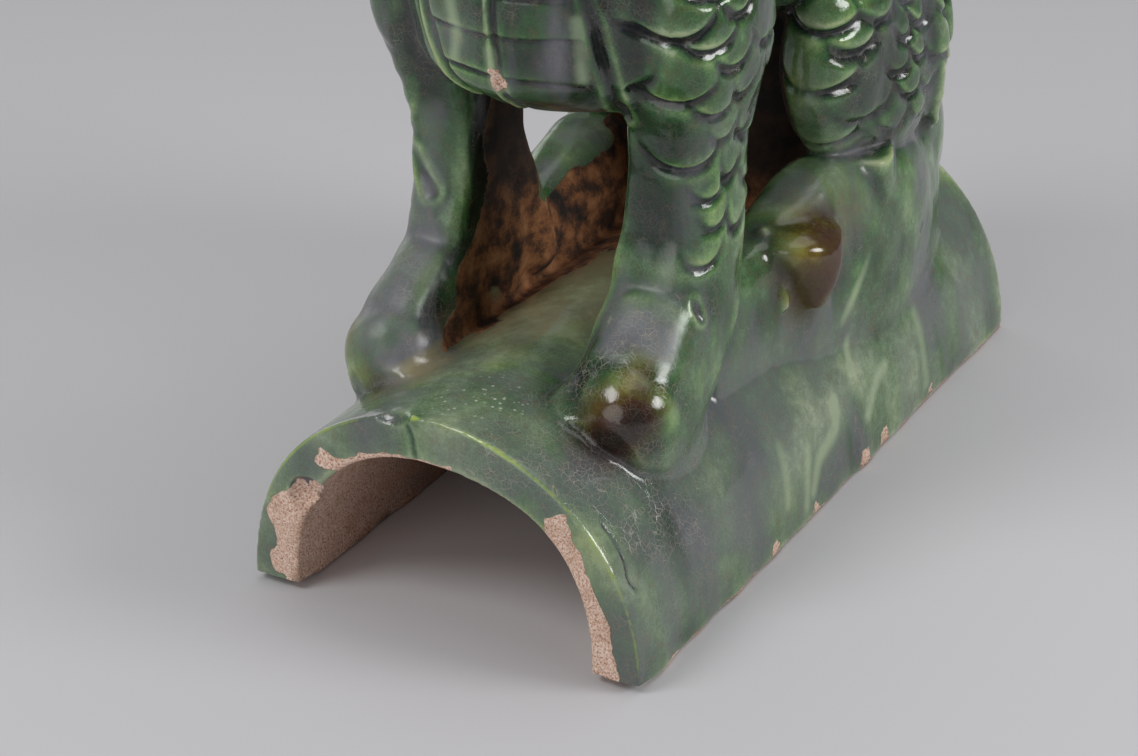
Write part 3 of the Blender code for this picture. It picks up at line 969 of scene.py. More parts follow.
normals = normals_of(skin, quads)
raised = skin + normals * height[:, None]
raised = relaxed(raised, edges, 1)
print("relief from", round(height.min() * 1000, 2), "to", round(height.max() * 1000, 2), "mm")

# %% [markdown]
# ## Where the glaze pools
#
# Molten lead glaze runs off edges and gathers in hollows. How hollow a place is can be read from the mesh:
# smooth the skin a few rounds, and see how far each point moved out. A hollow moves out, an edge moves in.


# %% Attributes
def hollowness(points, quads, edges, rounds, depth):
    """How far smoothing carries each point out along its normal, as a share of depth, from -1 to 1."""
    moved = relaxed(points, edges, rounds, 0.6) - points
    return np.clip(np.einsum("ij,ij->i", moved, normals_of(points, quads)) / depth, -1, 1)


fine = hollowness(raised, quads, edges, 6, 0.0004)
broad = hollowness(raised, quads, edges, 60, 0.0016)
on_tile = 1 - smooth_step(1.04, 1.22, arch_reach(raised, OUTER_HALF, TILE_HEIGHT, OUTER_ARCH))
pool = 0.65 * fine + 0.45 * (1 - 0.75 * on_tile) * broad


def blots(points, rows):
    """The sum of amount * exp(-(distance / radius)^2) over round patches (x, y, z, radius, amount) in mm."""
    total = np.zeros(len(points))
    for x, y, z, radius, amount in rows:
        gap = np.sum((points - np.array((x, y, z)) / 1000) ** 2, 1)
        total += amount * np.exp(-gap / (radius / 1000) ** 2)
    return total


def outline_depth(across, up, outline):
    """How far each point is inside a closed outline in the X Z plane, in metres, less than 0 outside it."""
    corners = np.array(outline) / 1000
    nearest, inside = np.full(len(across), 1.0), np.zeros(len(across), bool)
    for (x0, z0), (x1, z1) in zip(corners, np.roll(corners, -1, 0)):
        run = np.array((x1 - x0, z1 - z0))
        along = np.clip(((across - x0) * run[0] + (up - z0) * run[1]) / (run @ run), 0, 1)
        nearest = np.minimum(nearest, np.hypot(across - x0 - along * run[0], up - z0 - along * run[1]))
        crosses = ((z0 > up) != (z1 > up)) & (across < x0 + (up - z0) * run[0] / (z1 - z0 + 1e-12))
        inside ^= crosses
    return np.where(inside, nearest, -nearest)


# %% [markdown]
# ## Where the clay shows
#
# The glaze was brushed on, so it missed the end faces' lower corners, the tunnel and the foot, and chips
# have broken it since. Between the legs the brush never reached, and rust stained the clay red brown; the
# shade under the belly and deep in the tunnel is painted on that clay, darker towards the inside. These
# places could be painted by hand on an image, but outlines, boxes and soft round patches in millimetres
# stay sharp at any size, and each becomes one value at every point of the mesh.

# %% Bare clay
BARE_RIGHT = [(44.4, 54.7), (49.3, 45.6), (53.3, 35.8), (57.2, 25.9), (59.9, 17), (63.2, 5.7), (63, -9)]
BARE_RIGHT += [(40, -9), (36, 30), (38.0, 52.5)]
BARE_LEFT = [(-56.7, 35.4), (-51.7, 41), (-47, 38.7), (-43.3, 38), (-36, 30), (-44, -9), (-56, -9)]
BARE_LEFT += [(-58.2, 3.9), (-62, 5.4), (-64.3, 10.3), (-60.9, 15), (-62, 20.1), (-63.8, 26.9)]
BARE_LEFT += [(-61.2, 31.3)]
BARE_CROWN = [(-43, 50), (-41.5, 56), (-38.5, 55), (-34.5, 52.6), (-33, 53.2), (-26, 57.0), (-20, 59.0)]
BARE_CROWN += [(-10.3, 60.2), (5.7, 60.3), (6, 50), (-30, 46)]
ragged_edge = 0.0005 * waves(raised, 0.009, 21) + 0.0003 * waves(raised, 0.004, 22)
near_end = smooth_step(0.1375, 0.139, -raised[:, 1])
to_bare = np.full(len(raised), -0.01)
for outline in (BARE_RIGHT, BARE_LEFT, BARE_CROWN):
    to_bare = np.maximum(to_bare, outline_depth(raised[:, 0], raised[:, 2], outline) + ragged_edge)
bare = np.clip(0.5 + to_bare / 0.003, 0, 1) * near_end
inner_reach = arch_reach(raised, INNER_HALF, INNER_HEIGHT, INNER_ARCH)
in_tunnel = (inner_reach < 1.06) & (np.abs(raised[:, 1]) < -FRONT_END - 0.0012)
bare = np.maximum(bare, in_tunnel.astype(float))
foot_rim = np.clip(0.5 + (0.0014 + 1.2 * ragged_edge - raised[:, 2]) / 0.003, 0, 1)
bare = np.maximum(bare, foot_rim)
CHIPS = [(-50, -142, 33, 7, 1.1), (1.8, -103, 167.5, 3.2, 1.1), (0.4, -104.5, 171.5, 2.6, 1.0)]
FOOT_CHIPS = [(70, -51, 4, 3, 1), (70, 18, 4, 4, 1), (70, 35, 4, 4, 1), (69, 52, 13, 2, 0.8)]
FOOT_CHIPS += [(26, 43.7, 96.7, 4, 0.8), (70, -20, 2, 5, 0.7), (70, 75, 3, 4, 0.9), (68, -75, 2, 4, 0.7)]
FOOT_CHIPS += [(-70, 20, 3, 7, 0.9), (-70, -80, 3, 5, 0.9)]
for chips in (CHIPS, FOOT_CHIPS):
    bare = np.maximum(bare, blots(raised, chips))

# %% Brown clay between the legs, with painted shade under the belly and in the tunnel
FOOT_ARRIS = [(-0.12, 0.074), (-0.1042, 0.0797), (-0.0927, 0.0878), (-0.0772, 0.1001), (-0.0735, 0.1037)]
FOOT_ARRIS += [(-0.0705, 0.113), (-0.07, 0.2)]
across, along, up = np.abs(raised[:, 0]), raised[:, 1], raised[:, 2]
facing_in = smooth_step(0.52, 0.78, -normals_of(raised, quads)[:, 0] * np.sign(raised[:, 0]))
arris_y, arris_z = zip(*FOOT_ARRIS)
behind = along - np.interp(up, arris_z, arris_y) + 0.0016 * waves(raised, 0.02, 26)
behind -= 0.02 * (raised[:, 0] > 0)
legs_height = band(up, (0.066, 0.072), (0.14, 0.156)) * smooth_step(0.014, 0.022, across)
low_down = 1 - smooth_step(0.076, 0.094, up)
between = smooth_step(0.005, 0.015, behind - 0.014 * low_down)
between *= (1 - smooth_step(0.03, 0.048, along)) * legs_height * facing_in
hind_foot_top = (raised[:, 0] < 0) * smooth_step(0.094, 0.102, up + 0.0015 * waves(raised, 0.015, 25))
between *= 1 - hind_foot_top * smooth_step(-0.04, -0.03, along)
# Painted shade: the legs' faces towards the middle, behind the paws, are darkened below through the glaze
# thickness.
shaded_side = band(behind, (0.0004, 0.003), (0.02, 0.034)) * legs_height * facing_in
under_belly = 1 - smooth_step(0.034, 0.04, across)
wall = band(along, (0.02, 0.03), (0.06, 0.07)) * under_belly * band(up, (0.072, 0.08), (0.15, 0.16))
middle_strip = smooth_step(-0.1, -0.07, along - 0.02 * (raised[:, 0] > 0))
middle_strip *= (1 - smooth_step(0.04, 0.056, along)) * (1 - smooth_step(0.076, 0.084, up))
middle_strip *= under_belly * (inner_reach > 1.1)
from_middle = across + 0.0035 * waves(raised, 0.02, 24) + 0.1 * np.minimum(along + 0.02, 0.02)
crown = middle_strip * smooth_step(0.011, 0.024, from_middle)
tan_dirt = middle_strip * (0.55 + 0.45 * smooth_step(0.002, 0.016, from_middle))
foot_dirt = [(-29, -98, 74, 9, 0.9), (-27, -110, 73, 8, 0.8), (-36, -122, 68, 6, 0.6)]
tan_dirt = np.maximum(tan_dirt, blots(raised, foot_dirt) * smooth_step(0.7, 1.0, on_tile))
brown_clay_and_shade = np.maximum(np.maximum(between, wall), crown)
brown_clay_and_shade = np.clip(brown_clay_and_shade + 0.15 * waves(raised, 0.018, 23) * (between + wall + crown), 0, 1)
# Painted shade: the clay between the legs turns near black up under the belly, and the tunnel darkens inwards.
painted_shade = np.maximum(between, wall) * smooth_step(0.094, 0.118, up)
painted_shade = np.maximum(painted_shade, wall * smooth_step(0.08, 0.092, up) * (raised[:, 0] > 0))
painted_shade = np.maximum(painted_shade, in_tunnel * 0.85 * smooth_step(-0.12, 0.01, along))
# Painted shade: the clay in the tunnel grows darker towards the inside.
tunnel_shade = in_tunnel * 0.34 * smooth_step(-0.136, -0.03, along)
bare = np.clip(np.maximum(bare, brown_clay_and_shade), 0, 1)
dark_rim = 0.36 * foot_rim * smooth_step(-0.125, -0.1, raised[:, 1])
red_knob = blots(raised, [(62, -2, 83, 11, 0.45)])
# The tunnel's painted shade, the darker foot rim and the red stain on the knob go into the brown.
for stain_and_shade in (tunnel_shade, dark_rim, red_knob):
    brown_clay_and_shade = np.maximum(brown_clay_and_shade, stain_and_shade)
print("brown share", round(float(brown_clay_and_shade.mean()), 3), "soot share", round(float(painted_shade.mean()), 3))

# %% [markdown]
# ## How the glaze lies
#
# A potter reads a glaze by its thickness: runs that thin out, drops that hang, iron spots that turn amber
# where it pools. A grey violet sheen is painted where the glossy glaze reflects the room, and painted shade
# and light darken and lighten some faces. A noise alone could vary the colour, but the real streaks have
# places, so they are listed, and the noise in the material only breaks their edges.

# %% Where the glaze is thick, thin, amber, pale or crazed, with painted shade, light and sheen
AMBER = [(43, -113, 73, 8.5, 1.2), (51, -108, 75, 8, 0.9), (44, -114, 67, 6, 0.9), (48, -102, 86, 5, 0.8)]
AMBER += [(62, -4, 84, 13, 1.5), (60, 4, 88, 11, 1.0), (58, -4, 72, 8, 0.9), (-53, -103, 73, 7, 0.7)]
AMBER += [(-44, -118, 66, 6, 0.6), (62, 25, 90, 9, 0.35), (-57, 2, 80, 12, 0.8), (48, -112, 62, 5, 0.4)]
amber = np.clip(blots(raised, AMBER), 0, 1)

THICKNESS_AND_PAINTED_LIGHT = [
    (0, -120, 75, 22, -0.12), (-8, -88, 74, 24, -0.18), (4, -60, 74, 26, -0.45), (24, -134, 70, 12, -0.1),
    (40, -118, 62, 15, 0.34), (30, -96, 70, 12, 0.3), (58, -128, 40, 12, 0.22), (62, -104, 36, 13, 0.26),
    (66, -60, 30, 13, 0.28), (58, -50, 52, 12, 0.1), (68, -30, 20, 10, -0.35), (66, -5, 34, 14, -0.3),
    (69, 10, 12, 10, 0.3), (66, 24, 34, 9, -0.32), (62, 48, 42, 13, 0.2), (68, 60, 16, 12, -0.15),
    (58, 88, 46, 12, 0.32), (66, 100, 30, 14, -0.12), (50, 120, 52, 12, 0.15), (70, -100, 8, 14, 0.18),
    (-62, -131, 42, 12, -0.1), (-58, -100, 48, 18, 0.2), (-64, -50, 34, 20, -0.1), (-62, 20, 40, 22, 0.18),
    (-64, 90, 34, 22, -0.15), (42, -72, 116, 9, 0.35), (50, -66, 112, 10, -0.1), (36, -76, 140, 12, 0.2),
    (28, -100, 184, 16, 0.25), (12, -103, 172, 14, 0.32), (-14, -102, 180, 14, -0.18), (44, -92, 100, 10, 0.28),
    (-38, -78, 130, 14, -0.1), (-38, -90, 90, 12, -0.05), (52, 50, 120, 24, 0.25), (60, 60, 90, 20, -0.12),
    (42, -113, 74, 6, -0.4), (46, -106, 83, 5, -0.32), (52, -109, 73, 6, 0.4), (44, -113, 65, 6, 0.5),
    (42, -108, 72, 16, 0.22), (-36, -109, 76, 10, 0.35), (34, -76, 128, 16, 0.26), (-38, -80, 150, 22, 0.15),
    # These two lighten the tile's end faces: painted light from the front.
    (56, -142, 45, 12, -0.32), (-58, -142, 30, 14, -0.34),
    (48, 40, 100, 14, -0.1), (62, -1, 81, 10, 0.48), (0, 130, 76, 26, -0.15), (0, 60, 190, 30, 0.1),
    (0, 118, 66, 20, 0.1),
]
# Thickness patches, with painted light on the end faces and painted shade on the legs' inner faces.
thickness_and_painted_light = 0.8 * blots(raised, THICKNESS_AND_PAINTED_LIGHT) - 0.12 * on_tile
thickness_and_painted_light += (1 - on_tile) * 0.16 * smooth_step(0.095, 0.15, raised[:, 2]) + 0.45 * shaded_side

# Painted reflection: a grey violet sheen where the glossy glaze reflects the lamps and the room.
PAINTED_SHEEN_SPOTS = [
    (31, -75, 146, 11, 0.2), (31, -74, 130, 11, 0.2), (32, -75, 114, 11, 0.4), (34, -83, 100, 11, 1.1),
    (44, -88, 95, 11, 1.1), (36, -94, 88, 8, 0.9), (12, -103, 172, 13, 0.5), (18, -100, 184, 12, 0.5),
    (-14, -101, 178, 9, 0.5), (-36, -73, 140, 12, 0.8), (-36, -74, 122, 10, 0.8), (-42, -82, 100, 14, 1.1),
    (-46, -102, 82, 14, 1.0), (-44, -92, 92, 12, 1.0), (-36, -109, 76, 10, 0.9), (53, -93, 92, 8, 0.9),
    (50, 36, 100, 14, 0.7), (58, 30, 88, 12, 0.6), (46, 6, 98, 12, 0.6),
    (-35, 8, 100, 14, 0.9), (56, -40, 40, 18, 0.5), (66, -80, 22, 16, 0.5), (64, -4, 46, 10, 0.5),
    (62, 78, 30, 14, 0.6), (66, 110, 24, 18, 0.6), (-58, -120, 30, 14, 0.4), (-40, 60, 60, 30, 0.5),
]
painted_sheen = np.clip(blots(raised, PAINTED_SHEEN_SPOTS), 0, 1)

PALE_RUNS_AND_HIGHLIGHT = [
    ([(0, -106, 178), (0.5, -105, 172), (1.5, -102, 166)], 2.4, 1.5),
    ([(-13, -103, 192), (-12, -103, 184), (-14, -101, 174)], 2.2, 0.8),
    ([(26, -99, 190), (26.5, -98, 182), (26, -95, 172)], 2.0, 0.8),
    ([(-27, -70, 150), (-27, -70, 113), (-27, -77, 100), (-27, -93, 88), (-27, -104, 80)], 1.0, 0.9),
    ([(69.6, -21, 10.2), (68.4, -15, 18.3), (67.3, -1.7, 22.8), (65, 2, 31)], 2.6, 0.7),
    ([(69.8, -27, 8), (68.8, -24, 17), (67.5, -21, 25)], 2.4, 0.6),
    ([(68.6, 22.5, 17.4), (66.9, 31.3, 24.5), (66, 41.4, 27.4)], 2.4, 0.6),
    ([(55.5, 25.8, 47), (59.1, 22.4, 41.8), (62.5, 18, 35)], 2.0, 0.6),
    ([(56, 40, 84), (58, 36, 70), (60, 26, 58), (61, 20, 52)], 2.2, 0.8),
    (
        [(43.3, 106.5, 59.4), (48.1, 89.8, 55.2), (54.2, 61.4, 48.7), (55.9, 49.4, 46.5), (56, 40.9, 46.4)],
        2.4,
        0.4,
    ),
    # A painted highlight: the light caught along the crease at the front of the hind foot.
    ([(44, -10, 93), (47.5, -12.5, 83), (52, -13.5, 72)], 1.6, 0.9),
    ([(69, -40, 14), (67.5, -38, 24), (65, -37, 33)], 2.4, 0.4),
    ([(70, 70, 8), (68, 71, 22), (64, 72, 34)], 2.6, 0.4),
    ([(-68, -60, 16), (-66, -59, 28), (-61, -58, 40)], 2.6, 0.5),
    ([(-69, 10, 12), (-66, 11, 28)], 2.6, 0.5),
    ([(-68, 60, 14), (-64, 61, 32), (-58, 62, 44)], 2.6, 0.5),
]
pale = np.zeros(len(raised))
for route, width, amount in PALE_RUNS_AND_HIGHLIGHT:
    gap, _ = near_path(raised, [tuple(value / 1000 for value in row) for row in route], 0.008)
    pale = np.maximum(pale, amount * (1 + 0.3 * on_tile) * bell(gap, width / 1000))
end_arch = arch(OUTER_HALF, TILE_HEIGHT, OUTER_ARCH, 41)
arris = [(x, FRONT_END, z) for x, z in end_arch]
arris_gap, _ = near_path(raised, arris, 0.005, steps=2)
arris_gap = np.minimum(arris_gap, 0.005) * 1000
pool *= (0.25 + 0.75 * smooth_step(1.2, 5.0, arris_gap)) * (1 - 0.8 * amber)
speckled = blots(raised, [(4, -124, 75, 11, 1.0), (14, -116, 74, 7, 0.6), (-6, -132, 75, 5, 0.5)])
CRAZED = [(40, -118, 62, 22, 1.0), (36, -96, 76, 16, 0.9), (46, -98, 84, 14, 0.8), (58, -120, 44, 16, 0.9)]
CRAZED += [(24, -140, 66, 16, 0.6), (44, -80, 100, 14, 0.6), (0, -135, 74, 18, 0.4), (62, -90, 30, 26, 0.5)]
CRAZED += [(-40, -90, 88, 16, 0.5), (-58, -110, 46, 22, 0.6), (60, 40, 40, 30, 0.3), (45, 40, 100, 18, 0.3)]
crazed = np.clip(blots(raised, CRAZED), 0, 1)
print("bare share", round(float(bare.mean()), 3), "amber share", round(float(amber.mean()), 3))


def give(mesh, values_by_name):
    """Writes each mark as one number at every point of the mesh."""
    for name, values in values_by_name.items():
        mesh.attributes.new(name, "FLOAT", "POINT").data.foreach_set("value", values.astype(np.float32))


def set_points(mesh, points):
    mesh.vertices.foreach_set("co", points.astype(np.float32).ravel())
    mesh.update()


set_points(body.data, raised)
marks = {
    "pool": pool,
    "bare": bare,
    "brown_clay_and_shade": brown_clay_and_shade,
    "painted_shade": painted_shade,
    "tan_dirt": tan_dirt,
    "painted_sheen": painted_sheen,
    "amber": amber,
    "thickness_and_painted_light": thickness_and_painted_light,
    "pale": pale,
    "speckled": speckled,
    "crazed": crazed,
    "crack_gap": crack_gap * 1000,
    "arris_gap": arris_gap,
    "on_tile": on_tile,
}
give(body.data, marks)


def keep_points(made, kept):
    """Puts the points in a group that the thinning leaves alone, so that thin lines keep their places."""
    group = made.vertex_groups.new(name="fine_marks")
    group.add(np.flatnonzero(kept).tolist(), 1.0, "REPLACE")


def thinned(made, most):
    """Collapses edges where the surface is flat until the piece has at most this many triangles."""
    had = sum(len(face.vertices) - 2 for face in made.data.polygons)
    thin = made.modifiers.new("thin_triangles", "DECIMATE")
    thin.ratio = min(1, most / had)
    if made.vertex_groups:
        thin.vertex_group = "fine_marks"
        thin.invert_vertex_group = True
    applied(made)
    made.vertex_groups.clear()
    made.data.shade_smooth()
    print(made.name, had, "->", sum(len(face.vertices) - 2 for face in made.data.polygons), "triangles")


finely_marked = (arris_gap < 3) | (crack_gap < 0.0025) | (pale > 0.04)
finely_marked |= (np.abs(to_bare) < 0.003) & (near_end > 0)
print("points kept for fine marks:", int(finely_marked.sum()))
keep_points(body, finely_marked)
BODY_TRIANGLES = 192000
thinned(body, BODY_TRIANGLES)

# %% [markdown]
# ## Head and mane
#
# The head was modelled by hand and joined to the neck while still soft: an open muzzle, round eyes under a
# knotted brow, leaf ears, two horns swept back, and a ruff of snail curls that runs down the neck. Each
# curl is a ball whose radius dips along a spiral, r = R (1 - depth exp(-(d / w)^2)), where d is the angle
# to the nearest arm of the spiral; a snail shell of rolled clay would need many more pieces.


# %% Snail curls and rings
def curl(centre, size, facing, turns=1.6, hand=1, depth=0.2):
    """A snail curl: a ball round the axis facing, with a spiral groove that winds out from its tip."""
    a, b, unit = sphere_grid(around=72, up=54)
    phase = (hand * b + 2 * np.pi * turns * a / (0.62 * np.pi)) % (2 * np.pi) - np.pi
    groove = bell(phase, 0.75) * (1 - smooth_step(0.6 * np.pi, 0.72 * np.pi, a))
    radius = size * (1 - depth * groove)
    axis = one_long(facing)
    side = one_long(np.cross(axis, (0.0, 0.0, 1.0) if abs(axis[2]) < 0.9 else (1.0, 0.0, 0.0)))
    basis = np.stack([side, np.cross(axis, side), axis])
    centre = np.array(centre, float)
    rings = (unit * radius[..., None]) @ basis + centre
    return shell(rings, centre + axis * size, centre - axis * size)


def ring_path(centre, size, facing, thick, count=16):
    """Stations of a ring round the axis facing, for a rope of clay."""
    axis = one_long(facing)
    side = one_long(np.cross(axis, (0.0, 0.0, 1.0)))
    other = np.cross(axis, side)
    angle = np.linspace(0, 2 * np.pi, count)
    ring = np.array(centre) + size * (np.outer(np.cos(angle), side) + np.outer(np.sin(angle), other))
    return [(x, y, z, thick) for x, y, z in ring]


# %% Face, horns and ears
HEAD_Z = 0.288
HEAD_PIVOT = np.array((0, -0.052, 0.275))
HEAD_SHIFT = np.array((0, 0.008, 0.004))
HEAD_SIZE = 1.14
EYE = np.array((0.0235, -0.092, HEAD_Z + 0.015))
EYE_FACING = (0.62, -0.74, 0.26)
LID_SHIFT = np.array((0.0022, -0.0026, 0.001))


def grown(points):
    """Places on the head after it is enlarged about the top of the neck and set back over the chest."""
    return HEAD_PIVOT + HEAD_SHIFT + HEAD_SIZE * (np.asarray(points) - HEAD_PIVOT)


def skull():
    """Brow, muzzle, open mouth, tongue and chin tuft."""
    made = [
        ball((0, -0.066, HEAD_Z + 0.004), (0.034, 0.037, 0.03)),
        loft(
            [
                (0, -0.074, HEAD_Z + 0.002, 0.031, 0.021, 90),
                (0, -0.094, HEAD_Z + 0.001, 0.0265, 0.0165, 90),
                (0, -0.11, HEAD_Z + 0.002, 0.024, 0.0145, 90),
                (0, -0.122, HEAD_Z + 0.005, 0.0225, 0.014, 90),
                (0, -0.13, HEAD_Z + 0.006, 0.017, 0.01, 90),
            ],
            power=2.6,
        ),
        loft(
            [
                (0, -0.068, HEAD_Z - 0.026, 0.028, 0.015, 90),
                (0, -0.088, HEAD_Z - 0.034, 0.023, 0.0105, 90),
                (0, -0.104, HEAD_Z - 0.036, 0.0195, 0.0085, 90),
                (0, -0.116, HEAD_Z - 0.032, 0.014, 0.0065, 90),
            ],
            power=2.6,
        ),
        ball((0, -0.101, HEAD_Z - 0.0225), (0.0095, 0.019, 0.004), lean=-8),
        ball((0, -0.123, HEAD_Z + 0.018), (0.0105, 0.01, 0.008)),
        ball((0, -0.09, HEAD_Z + 0.026), (0.007, 0.008, 0.0075)),
    ]
    for x in (-0.011, 0.0, 0.011):
        stations = [
            (x, -0.107, HEAD_Z - 0.038, 0.0052),
            (x * 1.1, -0.109, HEAD_Z - 0.05, 0.0052),
            (x * 1.2, -0.105, HEAD_Z - 0.061, 0.0036),
            (x * 1.3, -0.1, HEAD_Z - 0.067, 0.0016),
        ]
        made.append(tube(stations, flutes=8, flute_depth=0.22))
    return made


def half_face():
    """Eye and lids, nostril, lip, teeth and cheek on the +X side."""
    made = [
        ball(EYE, (0.009, 0.009, 0.0092)),
        tube(ring_path(EYE + LID_SHIFT, 0.0086, EYE_FACING, 0.0019), steps=4, sides=24),
        ball((0.0125, -0.124, HEAD_Z + 0.014), (0.0085, 0.008, 0.0075)),
        ball((0.027, -0.086, HEAD_Z - 0.002), (0.008, 0.011, 0.0085)),
    ]
    lip = [
        (0.002, -0.1335, HEAD_Z - 0.003, 0.0036),
        (0.01, -0.131, HEAD_Z - 0.004, 0.004),
        (0.021, -0.121, HEAD_Z - 0.008, 0.0042),
        (0.0265, -0.104, HEAD_Z - 0.011, 0.004),
        (0.03, -0.088, HEAD_Z - 0.016, 0.0038),
        (0.029, -0.079, HEAD_Z - 0.028, 0.0034),
    ]
    lower_lip = [
        (0.0, -0.119, HEAD_Z - 0.0265, 0.0028),
        (0.012, -0.114, HEAD_Z - 0.027, 0.0028),
        (0.019, -0.102, HEAD_Z - 0.029, 0.0027),
        (0.024, -0.088, HEAD_Z - 0.029, 0.0025),
    ]
    fang = [
        (0.015, -0.121, HEAD_Z - 0.008, 0.0032),
        (0.0155, -0.121, HEAD_Z - 0.016, 0.0023),
        (0.0155, -0.119, HEAD_Z - 0.022, 0.0011),
    ]
    made += [tube(lip), tube(lower_lip), tube(fang)]
    rows_of_teeth = [
        ((0.0035, -0.1285, HEAD_Z - 0.0105), (0.011, -0.1255, HEAD_Z - 0.0115), 3, (0.0021, 0.002, 0.0036)),
        ((0.02, -0.114, HEAD_Z - 0.015), (0.026, -0.093, HEAD_Z - 0.019), 5, (0.002, 0.0024, 0.0034)),
        ((0.004, -0.115, HEAD_Z - 0.0235), (0.02, -0.093, HEAD_Z - 0.0255), 6, (0.0019, 0.0021, 0.003)),
    ]
    for first, last, count, radii in rows_of_teeth:
        made += [ball(place, radii, around=20, up=14) for place in np.linspace(first, last, count)]
    return made


def half_crown():
    """Brow with its flames, ear, horn and cheek locks on the +X side."""
    brow = [
        (0.007, -0.102, HEAD_Z + 0.02, 0.0036),
        (0.013, -0.102, HEAD_Z + 0.0245, 0.0046),
        (0.0225, -0.098, HEAD_Z + 0.028, 0.0048),
        (0.032, -0.086, HEAD_Z + 0.025, 0.0044),
        (0.0355, -0.072, HEAD_Z + 0.02, 0.0038),
        (0.038, -0.06, HEAD_Z + 0.021, 0.0022),
    ]
    made = [tube(brow, flutes=7, flute_depth=0.2)]
    for x, y, z in np.linspace((0.015, -0.097, HEAD_Z + 0.029), (0.0325, -0.08, HEAD_Z + 0.027), 3):
        flame = [
            (x, y, z, 0.0036),
            (x + 0.0015, y + 0.008, z + 0.0055, 0.003),
            (x + 0.004, y + 0.017, z + 0.0065, 0.001),
        ]
        made.append(tube(flame, sides=24))
    ear = [
        (0.029, -0.058, HEAD_Z + 0.01, 0.007, 0.009, 10),
        (0.039, -0.05, HEAD_Z + 0.022, 0.0056, 0.0115, 10),
        (0.0475, -0.041, HEAD_Z + 0.034, 0.004, 0.008, 10),
        (0.051, -0.034, HEAD_Z + 0.044, 0.0018, 0.0026, 10),
    ]
    made.append(loft(ear, sides=48))
    horn = np.array(
        [
            (0.013, -0.072, HEAD_Z + 0.026, 0.007),
            (0.0145, -0.058, HEAD_Z + 0.042, 0.0064),
            (0.0165, -0.038, HEAD_Z + 0.051, 0.005),
            (0.018, -0.02, HEAD_Z + 0.054, 0.0034),
            (0.0175, -0.008, HEAD_Z + 0.052, 0.0018),
        ]
    )
    horn = smooth_path(horn, 12)
    horn[:, 3] *= 1 + 0.1 * np.cos(np.linspace(0, 2 * np.pi * 9, len(horn)))
    made.append(tube(horn, steps=2))
    for x, y, z, drop in ((0.03, -0.078, HEAD_Z - 0.006, 0.01), (0.029, -0.074, HEAD_Z - 0.02, 0.014)):
        lock = [
            (x, y, z, 0.004),
            (x + 0.0075, y + 0.01, z - 0.001, 0.0046),
            (x + 0.012, y + 0.02, z - drop * 0.4, 0.0036),
            (x + 0.0125, y + 0.028, z - drop * 0.1, 0.0012),
        ]
        made.append(tube(lock, flutes=6, flute_depth=0.2))
    return made


# %% Ruff and mane
RUFF_RINGS = [
    (9, -48, 34.5, -0.044, (0.0365, 0, 0.0345), 0.0112, 1.0, 0.25),
    (6, 6, 33.6, -0.032, (0.023, 0, 0.0225), 0.0108, 0.5, 1.0),
]


def ruff():
    """Snail curls round the back of the head, in two rings with one curl in the middle.

    Each ring has a count, the first angle and the step in degrees, its place along Y, its reach in X and Z,
    the size of its curls, and how far they face outwards and backwards.
    """
    made = []
    for count, first, step, y, reach, size, outwards, backwards in RUFF_RINGS:
        for index in range(count):
            angle = math.radians(first + index * step)
            out = np.array((math.cos(angle), 0, math.sin(angle)))
            centre = np.array((0, y, HEAD_Z + 0.001)) + out * reach
            facing = out * outwards + (0, backwards, 0)
            made.append(curl(centre, size, facing, hand=1 if math.cos(angle) > 0 else -1))
    made.append(curl((0, -0.03, HEAD_Z + 0.002), 0.011, (0, 1, 0.1)))
    return made


NECK_CURLS = [
    (0.038, -0.03, 0.266),
    (0.0395, -0.034, 0.246),
    (0.0385, -0.018, 0.252),
    (0.037, -0.016, 0.23),
]


def mane():
    """Snail curls down the back and sides of the neck."""
    made = []
    for row in range(4):
        for column in (-1, 0, 1):
            back = -0.012 + 0.0075 * row - 0.003 * abs(column)
            high = HEAD_Z + 0.002 - 0.0215 * row - 0.004 * abs(column)
            facing = (0.55 * column, 1, 0.25)
            made.append(curl((0.0215 * column, back, high), 0.0116, facing, hand=column or 1))
    for side in (-1, 1):
        for x, y, z in NECK_CURLS:
            made.append(curl((side * x, y, z), 0.0095, (side * 0.9, 0.35, 0.15), hand=side))
    return made


HEAD_VOXEL = 0.00072
half = half_face() + half_crown()
head_forms = [(grown(points), faces) for points, faces in skull() + half + mirrored(half) + ruff()]
head = fused("head_and_mane", head_forms + mane(), HEAD_VOXEL)
head_quads, head_edges = quads_of(head.data), edges_of(head.data)
face = relaxed(points_of(head.data), head_edges, 3)
face = creases_filled(face, head_quads, head_edges, 6)
print("head and mane:", len(face), "points")

# %% Marks on the face
SNOUT_LINES = [
    [(0.006, -0.113, 0.0175), (0.016, -0.112, 0.015), (0.0225, -0.111, 0.008)],
    [(0.0055, -0.106, 0.0185), (0.017, -0.105, 0.015), (0.025, -0.104, 0.006)],
    [(0.014, -0.13, 0.002), (0.021, -0.117, -0.001), (0.025, -0.104, -0.004)],
]
EAR_HOLLOW = [(0.033, -0.066, 0.012), (0.041, -0.06, 0.022), (0.047, -0.05, 0.032)]
folded = np.stack([np.abs(face[:, 0]), face[:, 1], face[:, 2]], -1)
cuts = np.zeros(len(face))
for route in SNOUT_LINES:
    gap, _ = near_path(folded, grown(np.array(route) + (0, 0, HEAD_Z)), 0.006)
    cuts -= 0.001 * bell(gap, 0.0011)
gap, _ = near_path(folded, grown(np.array(EAR_HOLLOW) + (0, 0, HEAD_Z)), 0.01)
cuts -= 0.003 * bell(gap, 0.0036)
cuts += 0.00022 * waves(face, 0.016, 31)
face = face + normals_of(face, head_quads) * cuts[:, None]
EYE_RADIUS, PUPIL_SIZE, NOSTRIL_SIZE = 0.0092, 0.0027, 0.003
